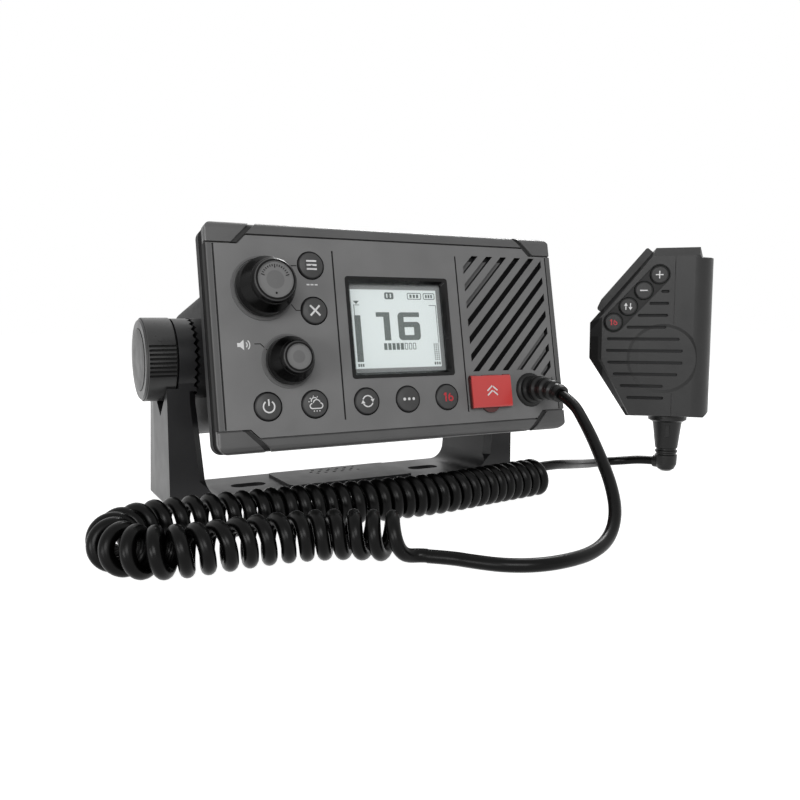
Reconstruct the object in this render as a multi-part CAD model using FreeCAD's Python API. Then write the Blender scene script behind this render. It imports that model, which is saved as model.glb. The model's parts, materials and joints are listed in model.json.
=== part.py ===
"""VHF marine radio on a tilting yoke bracket, with a handset on a curly cord.

Millimetres. Z is up, the face looks along -Y, and the origin is the centre of the
bracket's base on its underside. The radio is drawn untilted in its own frame, with x
to the right, y back from the face and z up from the face's centre, and is then
tilted about the gimbal axis. The handset is drawn in a frame of the same kind.
"""

import FreeCAD, Part
import math
import os

from FreeCAD import Vector

# ---------------------------------------------------------------- driving sizes

# face of the radio
face_width = 161.0
face_height = 88.0
face_corner = 4.5
fascia_depth = 3.8
fascia_skin = 2.5
fascia_rim = 3.0
pocket_corner = 2.0
front_edge_round = 3.2
side_edge_round = 1.0
seam_gap = 0.35
seam_depth = 1.5

# trims above and below the fascia
trim_band = 5.1
trim_corner_band = 8.5
trim_step_inset = 12.5
trim_notch_width = 2.8
trim_notch_depth, trim_notch_dip = 0.7, 0.25

# the layers behind the fascia
layer_inset = 0.4
seal_thickness = 0.9
seal_inset = 1.2
seal_width = 3.0
front_housing_depth = 3.8
flange_depth = 4.1
layer_wall = 9.0

# rear housing
housing_width = 136.0
housing_height = 62.0
housing_back = 112.0
housing_corner = 7.0
housing_wall = 2.5
flange_shoulder = 3.0
fin_count = 8
fin_pitch = 6.5
fin_thickness = 2.0
fin_height = 44.0
fin_depth = 8.0
fin_middle_x = -2.0

# gimbal
pivot_behind_face = 60.0
pivot_y = -7.0
pivot_z = 64.0
tilt_back = 10.5
boss_radius = 17.4
tooth_count = 30
tooth_height = 1.2
tooth_inner_radius = 8.0
groove_share = 0.94
tooth_tip_gap = 0.3
insert_radius = 5.0
insert_length = 9.0
insert_pocket_wall = 2.5
stud_radius = 3.0
stud_in_insert = 8.0
stud_clearance = 0.3
stud_hole_clearance = 0.4

# bracket
arm_gap = 7.2
head_thickness = 7.5
arm_thickness = 12.4
bracket_depth = 43.0
base_thickness = 4.0
inner_fillet = 8.0
outer_round = 2.5
arm_front_bevel = 3.0
arm_lean = 4.0
arm_lean_height = 46.0
arm_facet_start_y = 8.0
arm_facet_inset = 1.5
notch_depth = 24.5
notch_clearance = 0.6
back_edge_height = 46.0
slot_spacing = 94.0
slot_length = 16.5
slot_radius = 4.0
pad_half_width = 32.0
pad_depth = 34.0
pad_rise = 1.2
vent_radius = 0.9
vent_pitch = 4.4

# gimbal knobs
grip_radius = 17.8
grip_length = 12.8
grip_edge = 1.2
grip_gap = 0.3
grip_groups = 3
grooves_per_group = 8
groove_pitch = 5.8
groove_width = 1.0
groove_depth = 0.8
cap_radius = 13.2
cap_thickness = 1.6
cap_rise = 0.5
stud_in_grip = 7.0

# display
display_x = -0.9
display_z = 3.0
frame_width = 47.8
frame_height = 41.6
frame_border = 2.4
frame_slope = 1.0
frame_corner = 1.3
frame_rise = 0.3
fit_gap = 0.2
window_depth = 2.6
window_thickness = 1.0
module_width = 46.0
module_height = 40.0

# keys on the face
key_radius = 5.3
key_hole_gap = 0.4
key_rise = 0.7
key_height = 2.7
key_dome = 0.5
key_row_z = -27.0
row_keys = {
    "key_power": -0.377 * face_width,
    "key_weather": -0.2596 * face_width,
    "key_scan": -0.1211 * face_width,
    "key_dots": -0.0043 * face_width,
    "key_sixteen": 0.1124 * face_width,
}
side_key_x = -0.2422 * face_width
side_keys = {"key_menu": 27.6, "key_exit": 9.6}
membrane_thickness = 1.0
membrane_gap = 0.6

# rotary knobs: centre, base radius, top radius, height
channel_x, channel_z = -0.3683 * face_width, 18.2
channel_base_radius, channel_top_radius, channel_height = 11.2, 8.1, 15.5
volume_x, volume_z = -0.3193 * face_width, -9.9
volume_base_radius, volume_top_radius, volume_height = 9.2, 6.1, 12.5
knob_foot_gap = 1.2
knob_ring_gap = 0.5
knob_ring_width = 0.8
knob_ring_rise = 0.6
shaft_radius = 3.0
running_clearance = 0.3
shaft_hole_gap = 1.0
shaft_behind_face = 7.0
shaft_in_knob = 3.2
encoder_radius = 6.0
encoder_depth = 5.8
encoder_floor = 1.5

# emergency key and its cover
cover_x, cover_z = 0.2447 * face_width, -25.6
cover_width, cover_height = 20.2, 14.2
cover_rise = 3.2
cover_lip_radius, cover_lip_drop, cover_lip_rise = 4.8, 2.1, 1.6
cover_wall = 1.2
cover_foot_gap = 0.3
cover_pin_radius = 0.5
cover_lug_radius = 1.0
cover_lug_neck = 1.2
cover_lug_width = 2.5
cover_lug_spacing = 11.0
emergency_radius = 4.2
emergency_rise = 1.2

# grooves cut in the fascia
divider_x = 0.1795 * face_width
divider_middle_x = -0.5
divider_half_height = 33.8
side_groove_inset = 3.1
side_groove_half_height = 35.0
face_groove_width = 0.7
face_groove_depth = 0.6

# speaker grille
grille_left = 0.2 * face_width
grille_edge_gap = 5.5
grille_bottom, grille_top = -16.6, 34.3
grille_slots = 14
grille_pitch = 7.7
grille_first = 4.5
slot_width = 2.3
grille_tail = 5.5
slot_past_skin = 0.3
cloth_margin = 1.0
speaker_z = 8.0
speaker_share = 0.467
speaker_left_gap = 1.7
speaker_depth = 16.0
speaker_rim = 2.0
basket_depth = 7.0
magnet_share = 0.8
cloth_thickness = 0.5

# cord gland on the face
gland_x, gland_z = 0.3845 * face_width, -25.8
gland_radius = 7.6
gland_rise = 1.6
gland_neck_radius = 5.4
gland_tail = 2.0
boot_base_radius = 6.2
boot_tip_radius = 3.7
boot_reach = 19.5
boot_droop = 4.2
boot_ribs = 4
boot_rib_depth = 0.6

# boards inside
board_thickness = 1.6
board_gap = 0.3
board_edge_gap = 4.0
main_board_z = -19.0
main_board_back_gap = 6.0
main_board_setback = 8.0
rail_width = 3.0
rail_height = 2.0

# sockets on the back
antenna_x, antenna_z = -44.0, -6.0
antenna_flange = 24.0
antenna_radius = 7.94
antenna_length = 16.0
antenna_bore = 2.2
antenna_tail_radius = 3.8
antenna_tail_length = 3.0
antenna_wall = 1.6
antenna_mouth_depth = 1.5
power_x, power_z = 44.0, -16.0
power_width, power_height, power_length = 22.0, 12.0, 14.0
data_x, data_z = 44.0, 10.0
data_flange_radius = 9.0
data_radius = 6.0
data_length = 11.0
socket_flange_thickness = 1.8
socket_flange_corner = 2.0
socket_wall = 1.5
socket_floor = 2.5
power_flange_rim = 6.0
power_pin_radius = 1.4
power_pin_spacing = 9.0
data_pins = 5
data_pin_radius = 0.6
data_pin_circle = 2.6
housing_screw_radius = 1.5
housing_screw_head = 2.9
housing_screw_head_height = 1.6
housing_screw_length = 8.0
housing_screw_inset = 6.5

# cord
cable_diameter = 4.7
coil_diameter = 17.5
arc_share = 0.45
tail_leave_angle = 64.0

# handset, in its own frame: x right, y back from its front, z up from its middle
handset_x, handset_y, handset_z = 162.0, -46.5, 75.0
handset_turn = -44.0
handset_left, handset_right = 33.0, 27.9
handset_top, handset_bottom = 42.6, -44.8
bar_left, bar_top = 22.2, 37.6
slant_foot_z, slant_top_x = 4.2, -0.5
foot_left_x, foot_left_z = -13.5, -14.5
shell_front_depth = 13.4
shell_back_depth = 14.0
shell_gap = 0.3
shell_wall = 2.4
shell_inset = 5.0
front_bevel = 6.4
top_bevel = 4.4
foot_bevel = 0.8
back_bevel = 4.0
bevel_depth = 5.0
grip_round = 11.4
grip_seam_x, grip_seam_width, grip_seam_depth = 8.9, 0.4, 0.5
handset_key_radius = 4.6
handset_key_gap = 0.3
handset_key_rise = 0.5
handset_key_height = 2.6
handset_key_room = 0.9
handset_keys = {
    "handset_key_up": (1.3, 28.7),
    "handset_key_down": (-6.2, 20.8),
    "handset_key_arrows": (-13.7, 12.6),
    "handset_key_sixteen": (-20.9, 4.5),
}
key_bed_radius = 5.4
key_bed_depth = 1.0
talk_proud = 3.7
talk_depth = 17.0
talk_length = 40.0
talk_top_gap = 2.6
talk_toe = 5.0
talk_in_shell = 2.2
talk_travel = 1.5
talk_side_gap = 0.3
dish_x, dish_z = 4.0, -14.2
dish_radius = 17.3
dish_depth = 0.8
louvre_pitch = 6.1
louvre_top_z = 20.2
louvre_height = 1.6
louvre_depth = 1.8
louvre_spans = [
    (2.4, 6.4), (-3.3, 6.4), (-8.8, 6.1), (-14.2, 5.5), (-24.0, 12.1),
    (-24.3, 13.9), (-23.5, 13.9), (-20.5, 11.6), (-16.8, 4.6), (-13.3, 5.0),
]
handset_speaker_radius = 14.0
handset_speaker_depth = 5.0
plinth_radius = 3.4
handset_boot_x = 8.0
collar_radius = 9.8
collar_height = 3.2
collar_step = 1.6
handset_boot_radius = 7.5
handset_boot_neck = 5.7
boot_ring_pitch, boot_ring_depth, boot_ring_count = 2.4, 0.6, 2
boot_slot_width, boot_slot_height, boot_slot_depth = 2.4, 6.6, 0.7
nozzle_radius = 3.2
nozzle_reach = 6.6
nozzle_height = 4.8
nozzle_turn = 117.0
stud_neck_radius = 4.0
stud_neck_length = 4.0
stud_head_radius = 7.0
stud_head_thickness = 2.5
stud_z = 12.0
handset_screw_radius = 2.6
handset_screw_depth = 1.2
handset_screw_spots = [(17.0, 28.0), (17.0, -32.0), (-18.0, -14.0)]
screw_cross_length, screw_cross_width, screw_cross_depth = 3.2, 0.7, 0.6
flush_gap = 0.1

# ---------------------------------------------------------------- worked-out places

front_housing_y = fascia_depth + seal_thickness
flange_y = front_housing_y + front_housing_depth + seal_thickness
flange_back_y = flange_y + flange_depth
trim_step_x = face_width / 2 - trim_step_inset
side_groove_x = face_width / 2 - side_groove_inset
pocket_half_width = face_width / 2 - side_edge_round - fascia_rim
pocket_half_height = face_height / 2 - trim_corner_band - fascia_rim
membrane_y = fascia_skin
front_board_y = flange_y + board_gap
main_board_y = flange_back_y + main_board_setback
main_board_length = housing_back - housing_wall - main_board_back_gap - main_board_y
shaft_hole = shaft_radius + shaft_hole_gap
cover_top_z = cover_z + cover_height / 2
cover_bottom_z = cover_z - cover_height / 2
cover_bottom_y = -cover_foot_gap
cover_bar_radius = (cover_rise - cover_foot_gap) / 2
cover_pin_z = cover_top_z - cover_bar_radius
cover_pin_y = cover_bottom_y - cover_bar_radius
emergency_z = (cover_bottom_z + cover_wall + cover_pin_z - cover_bar_radius) / 2
housing_half = housing_width / 2
grille_right = face_width / 2 - grille_edge_gap
speaker_radius = speaker_share * (grille_right - grille_left)
speaker_x = grille_left + speaker_radius - speaker_left_gap
magnet_radius = magnet_share * (housing_half - housing_wall - speaker_x)
arm_inner_x = housing_half + arm_gap
boss_tip_x = arm_inner_x - tooth_tip_gap
head_outer_x = arm_inner_x + head_thickness
arm_outer_x = arm_inner_x + arm_thickness
grip_inner_x = head_outer_x + grip_gap
grip_outer_x = grip_inner_x + grip_length
boot_tip_y = -gland_rise - boot_reach
boot_tip_z = gland_z - boot_droop
channel_knob_sizes = (channel_x, channel_z, channel_base_radius, channel_top_radius, channel_height)
volume_knob_sizes = (volume_x, volume_z, volume_base_radius, volume_top_radius, volume_height)
shell_back_y = shell_front_depth + shell_gap
handset_back_y = shell_back_y + shell_back_depth
handset_mid_y = shell_front_depth

# ---------------------------------------------------------------- drawing helpers


def to_space(plane, a, b, level):
    """A 2-D point on the xz, yz or xy plane, moved to a level along the plane's normal."""
    if plane == "xz":
        return Vector(a, level, b)
    if plane == "yz":
        return Vector(level, a, b)
    return Vector(a, b, level)


def normal_of(plane, length):
    """The extrusion vector of a plane."""
    return {"xz": Vector(0, length, 0), "yz": Vector(length, 0, 0), "xy": Vector(0, 0, length)}[plane]


def corner_wire(points, rounds, plane, level):
    """A closed wire through 2-D points, each corner rounded by its own radius."""
    count = len(points)
    edges, ends = [], []
    for i in range(count):
        here = Vector(points[i][0], points[i][1], 0)
        before = Vector(points[i - 1][0], points[i - 1][1], 0) - here
        after = Vector(points[(i + 1) % count][0], points[(i + 1) % count][1], 0) - here
        radius = rounds[i] if isinstance(rounds, (list, tuple)) else rounds
        before.normalize()
        after.normalize()
        half = before.getAngle(after) / 2
        if radius <= 0 or abs(half - math.pi / 2) < 1e-6:
            ends.append((here, here, None))
            continue
        reach = radius / math.tan(half)
        middle = before + after
        middle.normalize()
        centre = here + middle * (radius / math.sin(half))
        ends.append((here + before * reach, here + after * reach, centre - middle * radius))
    for i in range(count):
        start, end, bulge = ends[i]
        if bulge is not None:
            arc = [to_space(plane, p.x, p.y, level) for p in (start, bulge, end)]
            edges.append(Part.Arc(*arc).toShape())
        following = ends[(i + 1) % count][0]
        if (following - end).Length > 1e-6:
            line = [to_space(plane, p.x, p.y, level) for p in (end, following)]
            edges.append(Part.makeLine(*line))
    return Part.Wire(edges)


def plate(points, rounds, plane, start, end):
    """A flat outline with rounded corners, extruded from one level to another."""
    face = Part.Face(corner_wire(points, rounds, plane, start))
    return face.extrude(normal_of(plane, end - start))


def rectangle(width, height, a=0.0, b=0.0):
    """The four corners of a rectangle about a centre."""
    w, h = width / 2, height / 2
    return [(a - w, b - h), (a + w, b - h), (a + w, b + h), (a - w, b + h)]


def block(x0, x1, y0, y1, z0, z1):
    """A box between two corners."""
    return Part.makeBox(x1 - x0, y1 - y0, z1 - z0, Vector(x0, y0, z0))


def rod(radius, start, end):
    """A cylinder from one point to another."""
    axis = end - start
    return Part.makeCylinder(radius, axis.Length, start, axis)


def rod_y(radius, x, z, y0, y1):
    """A cylinder along y."""
    return rod(radius, Vector(x, y0, z), Vector(x, y1, z))


def rod_x(radius, x0, x1, y, z):
    """A cylinder along x."""
    return rod(radius, Vector(x0, y, z), Vector(x1, y, z))


def turned(profile, centre, axis):
    """A solid turned from (radius, distance) pairs about an axis."""
    points = [Vector(r, 0, d) for r, d in profile]
    face = Part.Face(Part.makePolygon(points + [points[0]]))
    solid = face.revolve(Vector(0, 0, 0), Vector(0, 0, 1), 360)
    solid.Placement = FreeCAD.Placement(centre, FreeCAD.Rotation(Vector(0, 0, 1), axis))
    return solid


def joined(shapes):
    """One solid from touching or overlapping shapes."""
    first = shapes[0]
    return first.fuse(shapes[1:]).removeSplitter() if len(shapes) > 1 else first


def group(shapes):
    """Separate solids that share a node."""
    return Part.makeCompound(shapes)


def mirrored(shape):
    """The same shape on the other side of the middle plane x = 0."""
    return shape.mirror(Vector(0, 0, 0), Vector(1, 0, 0))


# ---------------------------------------------------------------- frames


def in_radio(shape):
    """Tilts a shape of the radio about the gimbal axis and sets it in the bracket."""
    placed = shape.copy()
    placed.translate(Vector(0, -pivot_behind_face, 0))
    placed.rotate(Vector(0, 0, 0), Vector(1, 0, 0), -tilt_back)
    placed.translate(Vector(0, pivot_y, pivot_z))
    return placed


def radio_point(x, y, z):
    """A point of the radio's frame, in the object's frame."""
    turn = FreeCAD.Rotation(Vector(1, 0, 0), -tilt_back)
    return turn.multVec(Vector(x, y - pivot_behind_face, z)) + Vector(0, pivot_y, pivot_z)


def in_handset(shape):
    """Turns a shape of the handset to its heading and stands it on its cord boot."""
    placed = shape.copy()
    placed.translate(Vector(0, -handset_mid_y, 0))
    placed.rotate(Vector(0, 0, 0), Vector(0, 0, 1), handset_turn)
    placed.translate(Vector(handset_x, handset_y, handset_z))
    return placed


def handset_point(x, y, z):
    """A point of the handset's frame, in the object's frame."""
    turn = FreeCAD.Rotation(Vector(0, 0, 1), handset_turn)
    return turn.multVec(Vector(x, y - handset_mid_y, z)) + Vector(handset_x, handset_y, handset_z)


# ---------------------------------------------------------------- gimbal teeth


def tooth_grooves(root_x, mouth_x, phase):
    """V-shaped grooves about the x axis that narrow and rise towards it, as face teeth do."""
    wires = []
    for radius in (tooth_inner_radius, boss_radius + 1):
        half = groove_share * math.pi * radius / tooth_count
        depth = (root_x - mouth_x) * radius / boss_radius
        corners = [(mouth_x + depth, 0), (mouth_x, half), (mouth_x, -half)]
        corners = [Vector(x, y, radius) for x, y in corners]
        wires.append(Part.makePolygon(corners + corners[:1]))
    groove = Part.makeLoft(wires, True, True)
    grooves = []
    for i in range(tooth_count):
        copy = groove.copy()
        copy.rotate(Vector(0, 0, 0), Vector(1, 0, 0), (i + phase) * 360 / tooth_count)
        grooves.append(copy)
    return grooves


def toothed_disc(back_x, tip_x, hole_radius, phase):
    """A disc about the x axis with a toothed face at its tip, and a hole through its middle."""
    ends = sorted((back_x, tip_x))
    disc = rod_x(boss_radius, ends[0], ends[1], 0, 0)
    root_x = tip_x - math.copysign(tooth_height, tip_x - back_x)
    disc = disc.cut(tooth_grooves(root_x, tip_x, phase))
    if hole_radius > 0:
        disc = disc.cut(rod_x(hole_radius, ends[0] - 1, ends[1] + 1, 0, 0))
    return disc


# ---------------------------------------------------------------- bracket


def arm_side_outline():
    """Side view of an arm: straight front edge, round head, sloping back edge."""
    half = bracket_depth / 2
    rise = math.sqrt(boss_radius**2 - (half + pivot_y) ** 2)
    lean = math.radians(35)
    back_y = pivot_y + boss_radius * math.cos(lean)
    back_z = pivot_z + boss_radius * math.sin(lean)
    low = 0.0
    lines = [
        Part.makeLine(Vector(0, half, low), Vector(0, -half, low)),
        Part.makeLine(Vector(0, -half, low), Vector(0, -half, pivot_z + rise * 0 - rise)),
        Part.Arc(
            Vector(0, -half, pivot_z - rise),
            Vector(0, pivot_y, pivot_z + boss_radius),
            Vector(0, back_y, back_z),
        ).toShape(),
        Part.makeLine(Vector(0, back_y, back_z), Vector(0, half, back_edge_height)),
        Part.makeLine(Vector(0, half, back_edge_height), Vector(0, half, low)),
    ]
    return Part.Wire(lines)


def arm_inner_at(z):
    """Inner side of the right arm at a height: it leans in towards the radio on its way down."""
    above = max(0.0, arm_lean_height - z)
    return arm_inner_x - arm_lean * above / (arm_lean_height - base_thickness)


def yoke_outline():
    """Front view of the bracket: a U with rounded inner corners."""
    top = pivot_z + boss_radius + 1
    inside, outside = arm_inner_x, arm_outer_x
    foot = arm_inner_at(base_thickness)
    points = [
        (-outside, 0), (outside, 0), (outside, top), (inside, top), (inside, arm_lean_height),
        (foot, base_thickness), (-foot, base_thickness), (-inside, arm_lean_height),
        (-inside, top), (-outside, top),
    ]
    rounds = [outer_round, outer_round, 0, 0, 0, inner_fillet, inner_fillet, 0, 0, 0]
    return points, rounds


def knob_notch(side):
    """The V cut that lets the knob sit inside the arm's outer layer."""
    vertex_z = pivot_z - notch_depth
    slope = math.sqrt(1 - ((grip_radius + notch_clearance) / notch_depth) ** 2)
    rise_per_mm = slope / math.sqrt(1 - slope**2)
    reach = bracket_depth + boss_radius
    high = vertex_z + reach * rise_per_mm
    corners = [(pivot_y, vertex_z), (pivot_y + reach, high), (pivot_y - reach, high)]
    if side > 0:
        return plate(corners, 0, "yz", head_outer_x, arm_outer_x + 1)
    return plate(corners, 0, "yz", -arm_outer_x - 1, -head_outer_x)


def base_slots():
    """The two mounting slots."""
    cuts = []
    half = slot_length / 2 - slot_radius
    for x in (-slot_spacing / 2, slot_spacing / 2):
        cuts.append(block(x - half, x + half, -slot_radius, slot_radius, -1, base_thickness + 1))
        for end in (x - half, x + half):
            cuts.append(rod(slot_radius, Vector(end, 0, -1), Vector(end, 0, base_thickness + 1)))
    return cuts


def pad_vents():
    """Three staggered rows of small drain holes in the pad."""
    cuts = []
    for row in range(3):
        y = (row - 1) * vent_pitch * 0.8 + pad_depth / 4
        for column in range(6):
            x = (column - 2.5 + 0.25 * (-1) ** row) * vent_pitch
            cuts.append(rod(vent_radius, Vector(x, y, -1), Vector(x, y, base_thickness + pad_rise + 1)))
    return cuts


def arm_edge_bevels():
    """Cuts that bevel an arm's inner front edge and lean its outer face in towards the back."""
    half = bracket_depth / 2
    outer, bevel = arm_outer_x, arm_front_bevel
    low = base_thickness + inner_fillet
    inner = arm_inner_at(low)
    fronts = [corner_wire([
        (inner - 1, -half - 1.5), (inner + 0.3, -half - 1.5), (inner - 1, -half - 0.2),
    ], 0, "xy", low - inner_fillet / 2)]
    for z in (low, arm_lean_height, pivot_z - boss_radius * 0.75):
        inner = arm_inner_at(z)
        fronts.append(corner_wire([
            (inner - 1, -half - 1), (inner + bevel + 1, -half - 1), (inner - 1, -half + bevel + 1),
        ], 0, "xy", z))
    backs = []
    head = pivot_z + 2 * boss_radius
    for z, inset in ((0, 0.1), (back_edge_height, arm_facet_inset), (head, arm_facet_inset)):
        backs.append(corner_wire([
            (outer + 2, arm_facet_start_y), (outer, arm_facet_start_y), (outer - inset, half),
            (outer + 2, half),
        ], 0, "xy", z))
    pairs = list(zip(fronts, fronts[1:])) + list(zip(backs, backs[1:]))
    return [Part.makeLoft(list(pair), True, True) for pair in pairs]


def make_bracket():
    """The yoke: base, arms, toothed heads, slots and pad."""
    points, rounds = yoke_outline()
    reach = bracket_depth / 2 + boss_radius
    front_view = plate(points, rounds, "xz", -reach, reach)
    side = Part.Face(arm_side_outline()).extrude(Vector(2 * arm_outer_x, 0, 0))
    side.translate(Vector(-arm_outer_x, 0, 0))
    yoke = front_view.common(side)
    pad_top = base_thickness + pad_rise
    yoke = yoke.fuse(plate(rectangle(2 * pad_half_width, pad_depth), 3.0, "xy", base_thickness / 2, pad_top))
    at_pivot = Vector(0, pivot_y, pivot_z)
    hole = stud_radius + stud_hole_clearance
    cuts = base_slots() + pad_vents()
    for sign in (-1, 1):
        cuts.append(knob_notch(sign))
        ends = sorted((sign * (arm_inner_x - 1), sign * (head_outer_x + 1)))
        cuts.append(rod_x(hole, ends[0], ends[1], pivot_y, pivot_z))
        grooves = group(tooth_grooves(sign * (arm_inner_x + tooth_height), sign * arm_inner_x, 0.5))
        grooves.translate(at_pivot)
        cuts.append(grooves)
    for bevel in arm_edge_bevels():
        cuts += [bevel, mirrored(bevel)]
    return yoke.cut(cuts)


# ---------------------------------------------------------------- gimbal knobs


def make_gimbal_grip():
    """Right-hand knob: a rubber-covered disc with groups of grooves and a seat for its cap."""
    edge = grip_edge
    length = grip_length
    seat_radius = cap_radius + fit_gap
    seat = length - cap_thickness + cap_rise
    profile = [
        (0, 0), (grip_radius - edge, 0), (grip_radius, edge * 0.6), (grip_radius, length - edge),
        (grip_radius - edge, length), (seat_radius, length), (seat_radius, seat), (0, seat),
    ]
    grip = turned(profile, Vector(grip_inner_x, 0, 0), Vector(1, 0, 0))
    grooves = []
    for cluster in range(grip_groups):
        middle = 90 + cluster * 360 / grip_groups
        for i in range(grooves_per_group):
            angle = middle + (i - (grooves_per_group - 1) / 2) * groove_pitch
            groove = block(
                grip_inner_x - 1, grip_outer_x - edge, -groove_width / 2, groove_width / 2,
                grip_radius - groove_depth, grip_radius + 1,
            )
            groove.rotate(Vector(0, 0, 0), Vector(1, 0, 0), angle)
            grooves.append(groove)
    stud_seat = rod_x(stud_radius, grip_inner_x - 1, grip_inner_x + stud_in_grip, 0, 0)
    return grip.cut(grooves + [stud_seat])


def make_gimbal_cap():
    """The domed cap in the knob's outer face."""
    seat_x = grip_outer_x - cap_thickness + cap_rise
    profile = [
        (0, 0), (cap_radius, 0), (cap_radius, cap_thickness - cap_rise * 0.6),
        (cap_radius * 0.72, cap_thickness - cap_rise * 0.2), (0, cap_thickness),
    ]
    return turned(profile, Vector(seat_x, 0, 0), Vector(1, 0, 0))


def make_gimbal_stud():
    """The threaded stud, from the knob through the arm into the radio's insert."""
    start = boss_tip_x - tooth_height - stud_in_insert
    return rod_x(stud_radius, start, grip_inner_x + stud_in_grip, 0, 0)


def make_gimbal_knobs():
    """Both knobs with their caps and studs, set on the gimbal axis."""
    at_pivot = Vector(0, pivot_y, pivot_z)
    nodes = {}
    for name, make in (("grip", make_gimbal_grip), ("cap", make_gimbal_cap), ("stud", make_gimbal_stud)):
        right = make()
        left = mirrored(right)
        right.translate(at_pivot)
        left.translate(at_pivot)
        nodes[f"gimbal_{name}_right"] = right
        nodes[f"gimbal_{name}_left"] = left
    return nodes


# ---------------------------------------------------------------- face layers


def face_blank():
    """The whole front layer before its seams: rounded corners and rounded front edges."""
    w, h = face_width / 2, face_height / 2
    front_view = plate(rectangle(face_width, face_height), face_corner, "xz", 0, fascia_depth)
    side_points = [(0, -h), (fascia_depth, -h), (fascia_depth, h), (0, h)]
    side_view = plate(side_points, [front_edge_round, 0, 0, front_edge_round], "yz", -w, w)
    top_points = [(-w, 0), (w, 0), (w, fascia_depth), (-w, fascia_depth)]
    top_view = plate(top_points, [side_edge_round, side_edge_round, 0, 0], "xy", -h, h)
    return front_view.common(side_view).common(top_view)


def trim_outline(gap):
    """The region above the seam: a thin band that steps down near each corner."""
    w, h = face_width / 2 + 1, face_height / 2
    low = h - trim_corner_band + gap
    high = h - trim_band + gap
    step = trim_corner_band - trim_band
    return [
        (-w, h + 1), (-w, low), (-trim_step_x, low), (-trim_step_x + step, high),
        (trim_step_x - step, high), (trim_step_x, low), (w, low), (w, h + 1),
    ]


def trim_notches():
    """A slanting band near each end of the top trim, sunk below its front and its upper edge."""
    cuts = []
    h = face_height / 2
    low = h - trim_corner_band - 1
    reach = trim_corner_band + 2
    kept = face_blank()
    kept.translate(Vector(0, trim_notch_depth, -trim_notch_dip))
    for sign in (-1, 1):
        inner = sign * (trim_step_x + 1)
        outer = sign * (trim_step_x + 1 + trim_notch_width)
        points = [
            (inner, low), (outer, low),
            (outer - sign * reach, low + reach), (inner - sign * reach, low + reach),
        ]
        cuts.append(plate(points, 0, "xz", -1, fascia_depth + 1).cut(kept))
    return cuts


def make_trims():
    """Top trim, and the bottom trim as its mirror image. Behind the seam they meet the panel."""
    front = plate(trim_outline(seam_gap), 0, "xz", -1, seam_depth)
    back = plate(trim_outline(-seam_gap), 0, "xz", seam_depth, fascia_depth + 1)
    top = face_blank().common(front.fuse(back))
    top = top.cut(trim_notches())
    return top, top.mirror(Vector(0, 0, 0), Vector(0, 0, 1))


def grille_field(margin):
    """The grille's outline, let out by a margin: a rectangle with its foot sloped beside the gland."""
    left, right = grille_left - margin, grille_right + margin
    foot = grille_bottom - margin
    return [
        (left, grille_top), (left, foot), (right - 2 * grille_tail, foot),
        (right, foot - grille_tail), (right, grille_top),
    ]


def grille_cutter():
    """Slanting speaker slots, cut off by the grille's own outline."""
    across = math.hypot(grille_right - grille_left, grille_top - grille_bottom)
    end = fascia_skin + slot_past_skin
    middle_x = (grille_left + grille_right) / 2
    bars = []
    for i in range(grille_slots):
        bar = block(-across, across, -1, end, -slot_width / 2, slot_width / 2)
        bar.rotate(Vector(0, 0, 0), Vector(0, 1, 0), -45)
        bar.translate(Vector(middle_x, 0, middle_x - grille_first - i * grille_pitch))
        bars.append(bar)
    return group(bars).common(plate(grille_field(0), 0, "xz", -1, end))


def face_grooves():
    """Thin grooves: two dividers between the panel's thirds and one beside each side edge."""
    cuts = []
    half = face_groove_width / 2
    places = [(divider_middle_x + sign * divider_x, divider_half_height) for sign in (-1, 1)]
    places += [(sign * side_groove_x, side_groove_half_height) for sign in (-1, 1)]
    for x, height in places:
        cuts.append(block(x - half, x + half, -1, face_groove_depth, -height, height))
    return cuts


def knob_places():
    """Centre and base radius of each rotary knob."""
    return [(channel_x, channel_z, channel_base_radius), (volume_x, volume_z, volume_base_radius)]


def key_places():
    """Name, x and z of each round key on the face."""
    places = [(name, x, key_row_z) for name, x in row_keys.items()]
    return places + [(name, side_key_x, z) for name, z in side_keys.items()]


def make_fascia():
    """The front panel: grille, key holes, display window, cover seat and gland hole."""
    w, h = face_width / 2, face_height / 2
    middle = [(x, z - 2 * seam_gap) for x, z in trim_outline(seam_gap)[1:-1]]
    panel_outline = middle + [(x, -z) for x, z in reversed(middle)]
    panel = face_blank().common(plate(panel_outline, 0, "xz", -1, fascia_depth + 1))
    rings = []
    for x, z, radius in knob_places():
        outer = radius + knob_ring_gap + knob_ring_width
        rings.append(rod_y(outer, x, z, -knob_ring_rise, fascia_skin / 2))
    panel = panel.fuse(rings + cover_lugs())
    pocket_outline = rectangle(2 * pocket_half_width, 2 * pocket_half_height)
    pocket = plate(pocket_outline, pocket_corner, "xz", fascia_skin, fascia_depth + 1)
    cuts = [pocket, grille_cutter()] + face_grooves()
    for x, z, radius in knob_places():
        cuts.append(rod_y(radius + knob_ring_gap, x, z, -knob_ring_rise - 1, 0))
        cuts.append(rod_y(shaft_hole, x, z, -1, fascia_depth + 1))
    for name, x, z in key_places():
        cuts.append(rod_y(key_radius + key_hole_gap, x, z, -1, fascia_depth + 1))
    window = display_rectangle(frame_width, frame_height)
    cuts.append(plate(window, frame_corner, "xz", -1, fascia_depth + 1))
    cuts.append(rod_y(emergency_radius + key_hole_gap, cover_x, emergency_z, -1, fascia_depth + 1))
    cuts.append(rod_y(gland_neck_radius, gland_x, gland_z, -1, fascia_depth + 1))
    pin_ends = (cover_x - cover_width, cover_x + cover_width)
    cuts.append(rod_x(cover_pin_radius, pin_ends[0], pin_ends[1], cover_pin_y, cover_pin_z))
    return panel.cut(cuts)


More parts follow.
